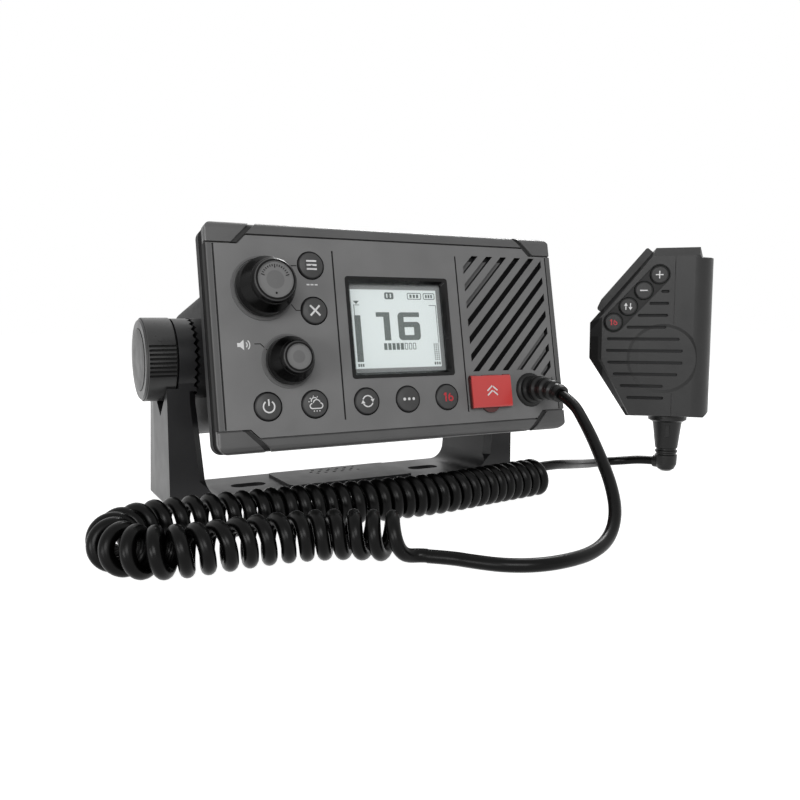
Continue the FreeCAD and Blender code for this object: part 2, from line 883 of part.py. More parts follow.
def ring_layer(inset, depth_from, depth_to, wall):
    """A rounded rectangular ring that follows the face's outline."""
    outer = rectangle(face_width - 2 * inset, face_height - 2 * inset)
    inner = rectangle(face_width - 2 * inset - 2 * wall, face_height - 2 * inset - 2 * wall)
    corner = max(face_corner - inset, 0.5)
    ring = plate(outer, corner, "xz", depth_from, depth_to)
    return ring.cut(plate(inner, corner, "xz", depth_from - 1, depth_to + 1))


def make_seals():
    """The thin dark seals between the three layers of the rim."""
    front = ring_layer(seal_inset, fascia_depth, front_housing_y, seal_width)
    rear = ring_layer(seal_inset, front_housing_y + front_housing_depth, flange_y, seal_width)
    return front, rear


def make_front_housing():
    """The middle layer of the rim, a deep ring that carries the fascia."""
    ring = ring_layer(layer_inset, front_housing_y, front_housing_y + front_housing_depth, layer_wall)
    start = flange_back_y - housing_screw_length
    return ring.cut([rod_y(housing_screw_radius, x, z, start, flange_y) for x, z in housing_screw_places()])


# ---------------------------------------------------------------- rear housing


def housing_screw_places():
    """Four screws through the flange, near the corners."""
    x = face_width / 2 - layer_inset - housing_screw_inset
    z = face_height / 2 - layer_inset - housing_screw_inset
    return [(sx * x, sz * z) for sx in (-1, 1) for sz in (-1, 1)]


def housing_fins():
    """Cooling fins on the back."""
    fins = []
    for i in range(fin_count):
        x = fin_middle_x + (i - (fin_count - 1) / 2) * fin_pitch
        points = [
            (housing_back - 1, -fin_height / 2), (housing_back + fin_depth, -fin_height / 2 + 4),
            (housing_back + fin_depth, fin_height / 2 - 4), (housing_back - 1, fin_height / 2),
        ]
        fins.append(plate(points, 0, "yz", x - fin_thickness / 2, x + fin_thickness / 2))
    return fins


def board_recess(clearance):
    """Outline of the front board's seat in the flange, drawn in by a clearance."""
    inset = layer_inset + layer_wall + clearance
    return rectangle(face_width - 2 * inset, face_height - 2 * inset)


def side_bosses():
    """A toothed boss on each side of the housing, backed by a thick pocket for its insert."""
    bosses = []
    for sign in (-1, 1):
        boss = toothed_disc(sign * (housing_half - housing_wall), sign * boss_tip_x, 0, 0.0)
        pocket_x = sign * (boss_tip_x - tooth_height - insert_length - insert_pocket_wall)
        ends = sorted((pocket_x, sign * housing_half))
        pocket = rod_x(insert_radius + insert_pocket_wall, ends[0], ends[1], 0, 0)
        bosses += [boss, pocket]
    for boss in bosses:
        boss.translate(Vector(0, pivot_behind_face, 0))
    return bosses


def board_rails():
    """Rails on the housing's side walls, above and below the main board."""
    rails = []
    start = main_board_y
    end = start + main_board_length
    above = main_board_z + board_thickness + board_gap / 2
    below = main_board_z - board_gap / 2 - rail_height
    outer, inner = housing_half - housing_wall / 2, housing_half - housing_wall - rail_width
    for sign in (-1, 1):
        ends = sorted((sign * outer, sign * inner))
        rails += [block(ends[0], ends[1], start, end, z, z + rail_height) for z in (above, below)]
    return rails


def make_rear_housing():
    """Flange, box and fins, with a toothed boss on each side and rails for the main board."""
    flange = plate(
        rectangle(face_width - 2 * layer_inset, face_height - 2 * layer_inset),
        face_corner - layer_inset, "xz", flange_y, flange_back_y,
    )
    shoulder_wires = [
        corner_wire(rectangle(housing_width + 2 * s, housing_height + 2 * s), housing_corner + s, "xz", y)
        for s, y in ((flange_shoulder, flange_back_y - 0.5), (0.0, flange_back_y + 2 * flange_shoulder))
    ]
    shoulder = Part.makeLoft(shoulder_wires, True, True)
    body = plate(rectangle(housing_width, housing_height), housing_corner, "xz", flange_y, housing_back)
    inner_corner = housing_corner - housing_wall
    inner = rectangle(housing_width - 2 * housing_wall, housing_height - 2 * housing_wall)
    cavity = plate(inner, inner_corner, "xz", flange_y - 1, housing_back - housing_wall)
    recess = plate(board_recess(0), face_corner, "xz", flange_y - 1, front_board_y + board_thickness)
    shell = flange.fuse([body, shoulder] + housing_fins()).cut([cavity, recess])
    shell = shell.fuse(side_bosses() + board_rails())
    cuts = []
    for sign in (-1, 1):
        ends = sorted((sign * (boss_tip_x - tooth_height - insert_length), sign * (boss_tip_x + 1)))
        cuts.append(rod_x(insert_radius, ends[0], ends[1], pivot_behind_face, 0))
    for x, z in housing_screw_places():
        cuts.append(rod_y(housing_screw_radius, x, z, flange_y - 1, flange_back_y + 1))
    wall_start = housing_back - housing_wall
    cuts.append(rod_y(antenna_tail_radius, antenna_x, antenna_z, wall_start - 1, housing_back + 1))
    return shell.cut(cuts)


def make_inserts():
    """The brass inserts that the gimbal studs screw into."""
    solids = []
    for sign in (-1, 1):
        outer = sign * (boss_tip_x - tooth_height)
        ends = sorted((outer - sign * insert_length, outer))
        insert = rod_x(insert_radius, ends[0], ends[1], pivot_behind_face, 0)
        bore = rod_x(stud_radius + stud_clearance, ends[0] - 1, ends[1] + 1, pivot_behind_face, 0)
        solids.append(insert.cut(bore))
    return group(solids)


def make_housing_screws():
    """Pan-head screws that clamp the layers of the rim."""
    solids = []
    back = flange_back_y
    for x, z in housing_screw_places():
        head = rod_y(housing_screw_head, x, z, back, back + housing_screw_head_height)
        shank = rod_y(housing_screw_radius, x, z, back - housing_screw_length, back)
        solids.append(head.fuse(shank))
    return group(solids)


# ---------------------------------------------------------------- display and keys


def display_rectangle(width, height):
    """A rectangle about the display's centre."""
    return rectangle(width, height, display_x, display_z)


def make_display_frame():
    """The black frame round the display, with a sloping inner edge and a seat for the window."""
    outer = plate(display_rectangle(frame_width, frame_height), frame_corner, "xz", -frame_rise, window_depth)
    inner_w, inner_h = frame_width - 2 * frame_border, frame_height - 2 * frame_border
    opening = plate(display_rectangle(inner_w, inner_h), 0.8, "xz", -1, fascia_depth)
    wide = display_rectangle(inner_w + 2 * frame_slope, inner_h + 2 * frame_slope)
    narrow = display_rectangle(inner_w, inner_h)
    levels = ((wide, -frame_rise), (narrow, window_depth / 2))
    slope = Part.makeLoft([corner_wire(outline, 0.8, "xz", y) for outline, y in levels], True, True)
    return outer.cut([opening, slope])


def make_display_window():
    """The clear window, set against the back of the frame."""
    outline = display_rectangle(frame_width - 2 * fit_gap, frame_height - 2 * fit_gap)
    return plate(outline, frame_corner, "xz", window_depth, window_depth + window_thickness)


def make_display_module():
    """The display itself, between the window and the front board."""
    start = window_depth + window_thickness + fit_gap
    return plate(display_rectangle(module_width, module_height), 0.5, "xz", start, front_board_y)


def make_key(x, z):
    """A round key cap with a soft dome."""
    profile = [
        (0, -key_rise - key_dome), (key_radius * 0.55, -key_rise - key_dome * 0.75),
        (key_radius - 0.5, -key_rise), (key_radius, -key_rise + 0.6), (key_radius, key_height - key_rise),
        (0, key_height - key_rise),
    ]
    return turned([(r, d) for r, d in profile], Vector(x, 0, z), Vector(0, 1, 0))


def key_side_outline(left, high):
    """Front view of what lies behind the keys: a sheet with a foot under the emergency key."""
    foot_right = cover_x + cover_width / 2 + fit_gap
    foot_top = cover_z + cover_height / 2
    middle_right = grille_left - board_edge_gap
    return [
        (left, -high), (foot_right, -high), (foot_right, foot_top),
        (middle_right, foot_top), (middle_right, high), (left, high),
    ]


def make_membrane():
    """The silicone sheet under the keys, open at the display and round the shafts."""
    outline = key_side_outline(-pocket_half_width + fit_gap, pocket_half_height - fit_gap)
    sheet = plate(outline, pocket_corner, "xz", membrane_y, membrane_y + membrane_thickness)
    end = fascia_depth + membrane_thickness
    hole = display_rectangle(frame_width + 2 * membrane_gap, frame_height + 2 * membrane_gap)
    cuts = [plate(hole, frame_corner, "xz", 0, end)]
    for x, z, radius in knob_places():
        cuts.append(rod_y(shaft_hole, x, z, 0, end))
    return sheet.cut(cuts)


def make_knob(x, z, base_radius, top_radius, height):
    """A tapering skirt under a ringed cap, bored for its shaft."""
    cap = top_radius - 1.5
    profile = [
        (0, -knob_foot_gap), (base_radius, -knob_foot_gap), (base_radius - 0.4, -height * 0.45),
        (top_radius + 0.6, -height * 0.78), (top_radius + 0.5, -height + 1.6), (top_radius, -height + 0.7),
        (top_radius - 0.6, -height), (cap, -height), (cap, -height + 0.5), (0, -height + 0.3),
    ]
    knob = turned(profile, Vector(x, 0, z), Vector(0, 1, 0))
    bore = rod_y(shaft_radius + running_clearance, x, z, -height + shaft_in_knob - 0.2, 1)
    return knob.cut(bore)


def make_shaft(x, z, height):
    """A push-and-turn shaft, from inside the knob to inside the encoder."""
    return rod_y(shaft_radius, x, z, -height + shaft_in_knob, shaft_behind_face)


def make_encoders():
    """The two encoder cans on the front board."""
    solids = []
    for x, z, radius in knob_places():
        can = rod_y(encoder_radius, x, z, front_board_y - encoder_depth, front_board_y)
        bore = rod_y(shaft_radius + running_clearance, x, z, 0, front_board_y - encoder_floor)
        solids.append(can.cut(bore))
    return group(solids)


# ---------------------------------------------------------------- emergency key


def lug_places():
    """Start and end of each hinge lug along x."""
    places = []
    for sign in (-1, 1):
        middle = cover_x + sign * cover_lug_spacing / 2
        places.append((middle - cover_lug_width / 2, middle + cover_lug_width / 2))
    return places


def cover_lugs():
    """Two small lugs on the fascia that hold the cover's pin."""
    lugs = []
    for a, b in lug_places():
        lugs.append(rod_x(cover_lug_radius, a, b, cover_pin_y, cover_pin_z))
        neck = cover_lug_neck / 2
        lugs.append(block(a, b, cover_pin_y, fascia_skin / 2, cover_pin_z - neck, cover_pin_z + neck))
    return lugs


def make_cover():
    """The hinged cover: a shallow lid with a round hinge bar along its top, notched for the lugs."""
    x0, x1 = cover_x - cover_width / 2, cover_x + cover_width / 2
    z0, z1 = cover_bottom_z, cover_top_z
    bar = cover_bar_radius
    side_points = [(-cover_rise, z0), (cover_bottom_y, z0), (cover_bottom_y, z1), (-cover_rise, z1)]
    lid = plate(side_points, [0.8, 0, bar * 0.99, bar * 0.99], "yz", x0, x1)
    lip_z = z0 + cover_lip_radius - cover_lip_drop
    lip = rod_y(cover_lip_radius, cover_x, lip_z, -cover_lip_rise, cover_bottom_y)
    lid = lid.fuse(lip.common(block(x0, x1, -cover_rise, 0, z0 - cover_lip_drop - 1, z0 + cover_wall)))
    hollow_top = cover_pin_z - bar
    inside = block(x0 + cover_wall, x1 - cover_wall, -cover_rise + cover_wall, 1, z0 + cover_wall, hollow_top)
    cuts = [inside, rod_x(cover_pin_radius + running_clearance, x0 - 1, x1 + 1, cover_pin_y, cover_pin_z)]
    room = cover_lug_neck / 2 + running_clearance
    for a, b in lug_places():
        a, b = a - running_clearance, b + running_clearance
        cuts.append(rod_x(cover_lug_radius + running_clearance, a, b, cover_pin_y, cover_pin_z))
        cuts.append(block(a, b, cover_pin_y - room, 1, cover_pin_z, z1 + 1))
        cuts.append(block(a, b, cover_pin_y, 1, cover_pin_z - room, z1 + 1))
    return lid.cut(cuts)


def make_cover_pin():
    """The hinge pin, held in the fascia's lugs."""
    half = cover_width / 2 - fit_gap
    return rod_x(cover_pin_radius, cover_x - half, cover_x + half, cover_pin_y, cover_pin_z)


def make_emergency_key():
    """The red key under the cover."""
    profile = [
        (0, -emergency_rise), (emergency_radius - 0.6, -emergency_rise),
        (emergency_radius, -emergency_rise + 0.6), (emergency_radius, key_height - key_rise),
        (0, key_height - key_rise),
    ]
    return turned(profile, Vector(cover_x, 0, emergency_z), Vector(0, 1, 0))


# ---------------------------------------------------------------- speaker and boards


def make_speaker_cloth():
    """The black cloth behind the grille, inside the fascia's pocket."""
    outline = grille_field(cloth_margin)
    outline = [(x, min(z, pocket_half_height - fit_gap)) for x, z in outline]
    return plate(outline, pocket_corner, "xz", fascia_skin, fascia_skin + cloth_thickness)


def make_speaker():
    """Loudspeaker: a shallow basket and a magnet."""
    start = fascia_skin + cloth_thickness + fit_gap
    profile = [
        (0, 0), (speaker_radius, 0), (speaker_radius, speaker_rim), (magnet_radius, basket_depth),
        (magnet_radius, speaker_depth), (0, speaker_depth),
    ]
    return turned(profile, Vector(speaker_x, start, speaker_z), Vector(0, 1, 0))


def make_front_board():
    """The board behind the keys and the display, in the flange's recess."""
    corner = board_recess(fit_gap)[0]
    outline = key_side_outline(corner[0], -corner[1])
    return plate(outline, face_corner, "xz", front_board_y, front_board_y + board_thickness)


def make_main_board():
    """The main board, slid in between the housing's rails."""
    half = housing_half - housing_wall - board_gap
    end = main_board_y + main_board_length
    return block(-half, half, main_board_y, end, main_board_z, main_board_z + board_thickness)


# ---------------------------------------------------------------- sockets


def socket_flange(width, height, x, z):
    """A square flange against the housing's back."""
    end = housing_back + socket_flange_thickness
    return plate(rectangle(width, height, x, z), socket_flange_corner, "xz", housing_back, end)


def make_antenna_socket():
    """A square-flanged coaxial socket with a hollow centre contact."""
    back, end = housing_back, housing_back + antenna_length
    floor = back + socket_flange_thickness
    x, z = antenna_x, antenna_z
    barrel = rod_y(antenna_radius, x, z, back, end)
    tail = rod_y(antenna_tail_radius, x, z, back - housing_wall - antenna_tail_length, back)
    mouth = rod_y(antenna_radius - antenna_wall, x, z, end - antenna_mouth_depth, end + 1)
    contact = rod_y(antenna_bore, x, z, floor, end + 1)
    flange = socket_flange(antenna_flange, antenna_flange, x, z)
    return flange.fuse([barrel, tail]).cut([mouth, contact])


def make_power_inlet():
    """A two-pin power inlet with a keyed shroud."""
    back, end = housing_back, housing_back + power_length
    flange = socket_flange(power_width + power_flange_rim, power_height + power_flange_rim, power_x, power_z)
    shroud = plate(rectangle(power_width, power_height, power_x, power_z), 2.5, "xz", back, end)
    inside = rectangle(power_width - 2 * socket_wall, power_height - 2 * socket_wall, power_x, power_z)
    hollow = plate(inside, 1.5, "xz", back + socket_floor, end + 1)
    pins = []
    for sign in (-1, 1):
        x = power_x + sign * power_pin_spacing / 2
        pins.append(rod_y(power_pin_radius, x, power_z, back + socket_floor / 2, end - socket_floor))
    return flange.fuse(shroud).cut(hollow).fuse(pins)


def make_data_inlet():
    """A round five-pin data inlet."""
    back, end = housing_back, housing_back + data_length
    flange = rod_y(data_flange_radius, data_x, data_z, back, back + socket_flange_thickness)
    barrel = rod_y(data_radius, data_x, data_z, back, end)
    hollow = rod_y(data_radius - socket_wall, data_x, data_z, back + socket_floor, end + 1)
    pins = []
    for i in range(data_pins):
        angle = math.radians(90 + i * 360 / data_pins)
        x = data_x + data_pin_circle * math.cos(angle)
        z = data_z + data_pin_circle * math.sin(angle)
        pins.append(rod_y(data_pin_radius, x, z, back + socket_floor / 2, end - socket_floor))
    return flange.fuse(barrel).cut(hollow).fuse(pins)


# ---------------------------------------------------------------- cord


def make_gland():
    """The round nut that the cord comes out of, on the face."""
    profile = [
        (0, -gland_rise), (gland_radius - 1.4, -gland_rise), (gland_radius - 0.5, -gland_rise + 0.4),
        (gland_radius, -0.5), (gland_radius, 0), (gland_neck_radius, 0),
        (gland_neck_radius, fascia_depth + gland_tail), (0, fascia_depth + gland_tail),
    ]
    return turned(profile, Vector(gland_x, 0, gland_z), Vector(0, 1, 0))


def bent_boot(bend, headings, radii, ribs, rib_depth):
    """A tapering ribbed sleeve along a bend, given its three control points, end headings and end radii."""
    start, middle, end = bend
    wires = []
    steps = 4 * ribs + 2
    for i in range(steps + 1):
        t = i / steps
        point = start * (1 - t) ** 2 + middle * (2 * t * (1 - t)) + end * t**2
        axis = headings[0] * (1 - t) + headings[1] * t
        radius = radii[0] + (radii[1] - radii[0]) * t
        in_rib = 0 < i < steps - 1 and i % 4 in (2, 3)
        if in_rib:
            radius -= rib_depth
        wires.append(Part.Wire(Part.makeCircle(radius, point, axis)))
    return Part.makeLoft(wires, True, True)


def boot_axis_end():
    """Heading of the cord as it leaves the face's boot, in the radio's frame."""
    return Vector(0, -math.cos(math.radians(32)), -math.sin(math.radians(32)))


def make_cord_boot():
    """The ribbed boot on the gland, drooping towards its tip."""
    start = Vector(gland_x, -gland_rise, gland_z)
    end = Vector(gland_x, boot_tip_y, boot_tip_z)
    middle = Vector(gland_x, -gland_rise - boot_reach * 0.62, gland_z)
    headings = (Vector(0, -1, 0), boot_axis_end())
    radii = (boot_base_radius, boot_tip_radius)
    return bent_boot((start, middle, end), headings, radii, boot_ribs, boot_rib_depth)


def rounded_route(points, name):
    """Straight runs joined by tangent arcs. Prints the smallest radius and the length."""
    edges = []
    here = points[0]
    radii = []
    for i in range(1, len(points) - 1):
        into = points[i] - points[i - 1]
        out = points[i + 1] - points[i]
        shorter = min(into.Length, out.Length)
        into.normalize()
        out.normalize()
        turn = into.getAngle(out)
        reach = arc_share * shorter
        radius = reach / math.tan(turn / 2)
        radii.append(radius)
        start = points[i] - into * reach
        end = points[i] + out * reach
        inward = out - into
        inward.normalize()
        centre = points[i] + inward * (radius / math.cos(turn / 2))
        bulge = centre - inward * radius
        if (start - here).Length > 1e-5:
            edges.append(Part.makeLine(here, start))
        edges.append(Part.Arc(start, bulge, end).toShape())
        here = end
    edges.append(Part.makeLine(here, points[-1]))
    path = Part.Wire(edges)
    print(name, "length", round(path.Length, 1), "radii", [round(r, 1) for r in radii])
    return path


def tube(points, diameter, name):
    """A round tube along a route."""
    path = rounded_route(points, name)
    heading = points[1] - points[0]
    section = Part.Wire(Part.makeCircle(diameter / 2, points[0], heading))
    solid = path.makePipeShell([section], True, False)
    expected = math.pi * diameter**2 / 4 * path.Length
    print(name, "volume over section times length", round(solid.Volume / expected, 4))
    return solid


def coil_route():
    """Middle line of the curly part: the far leg, a U-turn at the left, and the near leg."""
    height = coil_diameter / 2
    plan = [
        (78.5, -65.5), (60.0, -68.6), (38.0, -71.8), (12.0, -76.6), (-14.0, -75.9), (-40.0, -72.4),
        (-62.0, -70.7), (-79.0, -69.9), (-94.0, -69.8), (-107.7, -71.2), (-117.7, -78.3), (-121.5, -90.0),
        (-117.7, -101.7), (-107.7, -109.0), (-94.0, -109.8), (-78.5, -108.8), (-62.0, -110.4),
        (-47.0, -117.0), (-33.5, -129.5),
    ]
    return [Vector(x, y, height) for x, y in plan]


def lead_route():
    """The straight lead: out of the boot, down to the table and round to the coil's near end."""
    start = radio_point(gland_x, boot_tip_y, boot_tip_z)
    turn = FreeCAD.Rotation(Vector(1, 0, 0), -tilt_back)
    first = start + turn.multVec(boot_axis_end()) * 9.0
    low = cable_diameter / 2 + 0.05
    coil_end = coil_route()[-1]
    heading = coil_end - coil_route()[-2]
    heading.normalize()
    last = Vector(coil_end.x, coil_end.y, low)
    before = last + heading * 8.5
    hand = [
        (59.6, -108.5, 41.0), (57.2, -117.0, 34.8), (53.8, -126.5, 27.6), (50.2, -136.0, 19.8),
        (44.8, -144.8, 11.6), (36.5, -151.0, 5.0), (24.0, -156.2, low), (9.5, -158.8, low),
        (-5.0, -158.2, low), (-16.0, -152.8, low), (-22.5, -144.5, low),
    ]
    return [start, first] + [Vector(*p) for p in hand] + [before, last]


def tail_route():
    """The straight tail: off the coil's far end, down to the table and into the handset's boot."""
    coil_end = coil_route()[0]
    heading = coil_end - coil_route()[1]
    heading.normalize()
    low = cable_diameter / 2 + 0.05
    leave = math.radians(tail_leave_angle)
    reach = coil_diameter / 2 - cable_diameter / 2 - 0.2
    first = coil_end + Vector(-heading.y, heading.x, 0) * (reach * math.sin(leave))
    first += Vector(0, 0, reach * math.cos(leave))
    second = first + heading * 9.0
    tip = nozzle_tip()
    out = nozzle_heading()
    hand = [
        (103.6, -50.4, 8.8), (121.5, -38.2, 5.4), (137.0, -29.4, 3.0), (149.0, -26.0, low),
        (157.2, -30.0, low + 0.4),
    ]
    return [first, second] + [Vector(*p) for p in hand] + [tip + out * 7.0, tip]


# ---------------------------------------------------------------- handset


def handset_outline():
    """Front view of the handset: slanted at its top left for the talk lever, grip bar at its right."""
    left, right, top, bottom = -handset_left, handset_right, handset_top, handset_bottom
    return [
        (slant_top_x, top), (bar_left - 1.2, top), (bar_left, bar_top), (right, bar_top - 0.7),
        (right, bottom + 3), (right - 3, bottom), (foot_left_x, bottom),
        (left, foot_left_z), (left, slant_foot_z),
    ]


def handset_face_outline():
    """The flat of the handset's front, inside its bevels; the grip bar has no bevel."""
    left, right = -handset_left + front_bevel, handset_right
    top, bottom = handset_top - top_bevel, handset_bottom + foot_bevel
    slant = front_bevel * 0.26
    return [
        (slant_top_x - slant, top), (bar_left - 2.0, top),
        (bar_left - 0.8, bar_top - 0.9), (right, bar_top - 1.6),
        (right, bottom + 3), (right - 3, bottom), (foot_left_x + slant, bottom),
        (left, foot_left_z - slant * 0.4), (left, slant_foot_z + slant * 1.8),
    ]


def handset_prism(inset, y0, y1):
    """The handset's outline, moved inwards and extruded between two depths."""
    wire = corner_wire(handset_outline(), 0, "xz", y0)
    if inset > 0:
        wire = Part.Face(wire).makeOffset2D(-inset, 2).OuterWire
    return Part.Face(wire).extrude(Vector(0, y1 - y0, 0))


def handset_loft(inset, y_small, y_full):
    """A bevelled rim of the handset, from an inset outline to the full one."""
    full = corner_wire(handset_outline(), 0, "xz", y_full)
    small = Part.Face(corner_wire(handset_outline(), 0, "xz", y_small)).makeOffset2D(-inset, 2).OuterWire
    return Part.makeLoft([small, full], True, True)


def grip_rounding():
    """Top view limit: the right side is rounded like a bar, front and back."""
    left, right = -handset_left - 2, handset_right
    points = [(left, -1), (right, 0), (right, handset_back_y), (left, handset_back_y + 1)]
    return plate(points, [0, grip_round, grip_round, 0], "xy", handset_bottom - 1, handset_top + 1)


def grip_seams():
    """The seam beside the grip bar, above and below the dish."""
    half = grip_seam_width / 2
    ring = dish_radius + grip_seam_depth
    spans = [(dish_z + ring, handset_top - top_bevel), (handset_bottom + foot_bevel, dish_z - ring)]
    x0, x1 = grip_seam_x - half, grip_seam_x + half
    return [block(x0, x1, -1, grip_seam_depth, z0, z1) for z0, z1 in spans]


def talk_frame():
    """Start, direction and outward normal of the slanted edge under the talk lever."""
    outline = handset_outline()
    low, high = outline[-1], outline[0]
    length = math.hypot(high[0] - low[0], high[1] - low[1])
    along = ((high[0] - low[0]) / length, (high[1] - low[1]) / length)
    return low, along, (-along[1], along[0]), length


def talk_plate(stations, y0, y1, rounds):
    """A slab on the slanted edge, through (distance along it, height off it) corners."""
    origin, along, out, length = talk_frame()
    corners = []
    for s, n in stations:
        corners.append((origin[0] + along[0] * s + out[0] * n, origin[1] + along[1] * s + out[1] * n))
    return plate(corners, rounds, "xz", y0, y1)


def talk_stations():
    """Where the talk lever starts and ends along the slanted edge."""
    end = talk_frame()[3] - talk_top_gap
    return end - talk_length, end


def talk_depths():
    """The talk lever's front and back, centred on the shells' joint."""
    return shell_front_depth - talk_depth / 2, shell_front_depth + talk_depth / 2


def talk_pocket():
    """The pocket in the shells that the lever moves in."""
    start, end = talk_stations()
    y0, y1 = talk_depths()
    gap = talk_side_gap
    low = -talk_in_shell - talk_travel - gap
    corners = [(start - gap, low), (end + gap, low), (end + gap, talk_proud), (start - gap, talk_proud)]
    return talk_plate(corners, y0 - gap, y1 + gap, 0)


def make_talk_lever():
    """The push-to-talk lever along the slanted edge."""
    start, end = talk_stations()
    y0, y1 = talk_depths()
    origin, along, out, length = talk_frame()
    rise = along[1] / out[1]
    corners = [
        (start, -talk_in_shell), (end, -talk_in_shell), (end, (length - end) * rise),
        (length - talk_proud / rise, talk_proud),
        (start + talk_toe, talk_proud), (start, talk_proud * 0.6),
    ]
    return talk_plate(corners, y0, y1, [0, 0, 0, 1.2, 3.0, 1.5])


def make_handset_front():
    """Front shell: bevelled rim, grip bar, key bed, dished louvres and an open back."""
    face = corner_wire(handset_face_outline(), 0, "xz", 0)
    full = corner_wire(handset_outline(), 0, "xz", bevel_depth)
    shell = Part.makeLoft([face, full], True, True).fuse(handset_prism(0, bevel_depth, shell_front_depth))
    shell = shell.common(grip_rounding())
    cavity = handset_prism(shell_inset, shell_wall, shell_front_depth + 1)
    cuts = [cavity, talk_pocket()]
    first, last = handset_keys["handset_key_up"], handset_keys["handset_key_sixteen"]
    cuts.append(key_bed(first, last))
    for x, z in handset_keys.values():
        cuts.append(rod_y(handset_key_radius + handset_key_gap, x, z, -1, shell_wall + 1))
    dish = [(0, -0.5), (dish_radius + 1.5, -0.5), (dish_radius - 1.0, dish_depth), (0, dish_depth)]
    cuts.append(turned(dish, Vector(dish_x, 0, dish_z), Vector(0, 1, 0)))
    cuts += louvres() + grip_seams()
    return shell.cut(cuts)


def key_bed(first, last):
    """A shallow slanting recess round the keys."""
    dx, dz = last[0] - first[0], last[1] - first[1]
    length = math.hypot(dx, dz)
    nx, nz = -dz / length * key_bed_radius, dx / length * key_bed_radius
    corners = [
        (first[0] + nx, first[1] + nz), (last[0] + nx, last[1] + nz),
        (last[0] - nx, last[1] - nz), (first[0] - nx, first[1] - nz),
    ]
    bed = plate(corners, 0, "xz", -1, key_bed_depth)
    ends = [rod_y(key_bed_radius, x, z, -1, key_bed_depth) for x, z in (first, last)]
    return bed.fuse(ends)


def louvres():
    """Level slots over the speaker; the upper ones stop short of the keys, the lower ones of the edge."""
    cuts = []
    for i, (left, right) in enumerate(louvre_spans):
        middle = ((left + right) / 2, louvre_top_z - i * louvre_pitch)
        outline = rectangle(right - left, louvre_height, *middle)
        cuts.append(plate(outline, louvre_height * 0.49, "xz", -1, louvre_depth))
    return cuts


def make_handset_back():
    """Back shell: bevelled all round, open towards the front shell."""
    shell = handset_prism(0, shell_back_y, handset_back_y - bevel_depth)
    rim = handset_loft(back_bevel, handset_back_y, handset_back_y - bevel_depth)
    shell = shell.fuse(rim).common(grip_rounding())
    cavity = handset_prism(shell_inset, shell_back_y - 1, handset_back_y - shell_wall)
    cuts = [cavity, talk_pocket()]
    seat_y = handset_back_y - handset_screw_depth
    for x, z in handset_screw_spots:
        cuts.append(rod_y(handset_screw_radius, x, z, seat_y, handset_back_y + 1))
    return shell.cut(cuts)


def make_handset_screws():
    """Countersunk in the back shell, heads flush with it."""
    solids = []
    long, wide = screw_cross_length / 2, screw_cross_width / 2
    for x, z in handset_screw_spots:
        y1 = handset_back_y - flush_gap
        head = rod_y(handset_screw_radius, x, z, handset_back_y - handset_screw_depth, y1)
        y0 = y1 - screw_cross_depth
        cross = [
            block(x - long, x + long, y0, y1 + 1, z - wide, z + wide),
            block(x - wide, x + wide, y0, y1 + 1, z - long, z + long),
        ]
        solids.append(head.cut(cross))
    return group(solids)


def make_handset_key(x, z):
    """A round soft key on the handset."""
    rise = handset_key_rise
    profile = [
        (0, -rise), (handset_key_radius - 0.8, -rise + 0.1), (handset_key_radius, -rise + 0.7),
        (handset_key_radius, handset_key_height - rise), (0, handset_key_height - rise),
    ]
    return turned(profile, Vector(x, 0, z), Vector(0, 1, 0))


def make_handset_speaker():
    """The small speaker that sits behind the louvres."""
    return rod_y(handset_speaker_radius, dish_x, dish_z, shell_wall, shell_wall + handset_speaker_depth)


def make_handset_board():
    """The board behind the speaker and the keys, with a plinth that carries the keys."""
    y0 = shell_wall + handset_speaker_depth
    board = handset_prism(shell_inset + board_gap, y0, y0 + board_thickness)
    seat = handset_key_height - handset_key_rise + handset_key_room
    plinths = [rod_y(plinth_radius, x, z, seat, y0) for x, z in handset_keys.values()]
    return board.fuse(plinths)


def nozzle_heading():
    """Level direction in which the cord leaves the handset's boot."""
    angle = math.radians(nozzle_turn)
    return Vector(math.cos(angle), math.sin(angle), 0)


def nozzle_tip():
    """Where the cord leaves the handset's boot, in the object's frame."""
    foot = handset_point(handset_boot_x, handset_mid_y, 0)
    return Vector(foot.x, foot.y, nozzle_height) + nozzle_heading() * nozzle_reach


def make_handset_boot():
    """Collar and tapering boot under the handset, ringed near its foot, with a side nozzle for the cord."""
    foot = handset_point(handset_boot_x, handset_mid_y, 0)
    top = handset_z + handset_bottom
    neck = handset_boot_neck
    ring_top = nozzle_height + nozzle_radius + boot_ring_count * boot_ring_pitch
    profile = [
        (0, top), (collar_radius, top), (collar_radius, top - collar_height * 0.7),
        (collar_radius - collar_step, top - collar_height), (handset_boot_radius, top - collar_height),
        (neck, ring_top),
    ]
    for i in range(boot_ring_count):
        z = ring_top - i * boot_ring_pitch
        for share, sunk in ((0.15, 1), (0.5, 1), (0.65, 0), (1.0, 0)):
            profile.append((neck - sunk * boot_ring_depth, z - share * boot_ring_pitch))
    profile += [(neck * 0.96, nozzle_height * 0.8), (neck * 0.75, 1.4), (neck * 0.45, 0.3), (0, 0.0)]
    sleeve = turned(profile, Vector(foot.x, foot.y, 0), Vector(0, 0, 1))
    start = Vector(foot.x, foot.y, nozzle_height)
    nozzle = Part.makeCone(neck * 0.65, nozzle_radius, nozzle_reach, start, nozzle_heading())
    slot_top = top - collar_height - 1.5
    slots = []
    for quarter in range(4):
        reach = (handset_boot_radius + neck) / 2 - boot_slot_depth
        slot = block(
            reach, reach + 4, -boot_slot_width / 2, boot_slot_width / 2,
            slot_top - boot_slot_height, slot_top,
        )
        slot.rotate(Vector(0, 0, 0), Vector(0, 0, 1), handset_turn + 90 * quarter)
        slot.translate(Vector(foot.x, foot.y, 0))
        slots.append(slot)
    return sleeve.cut(slots).fuse(nozzle)


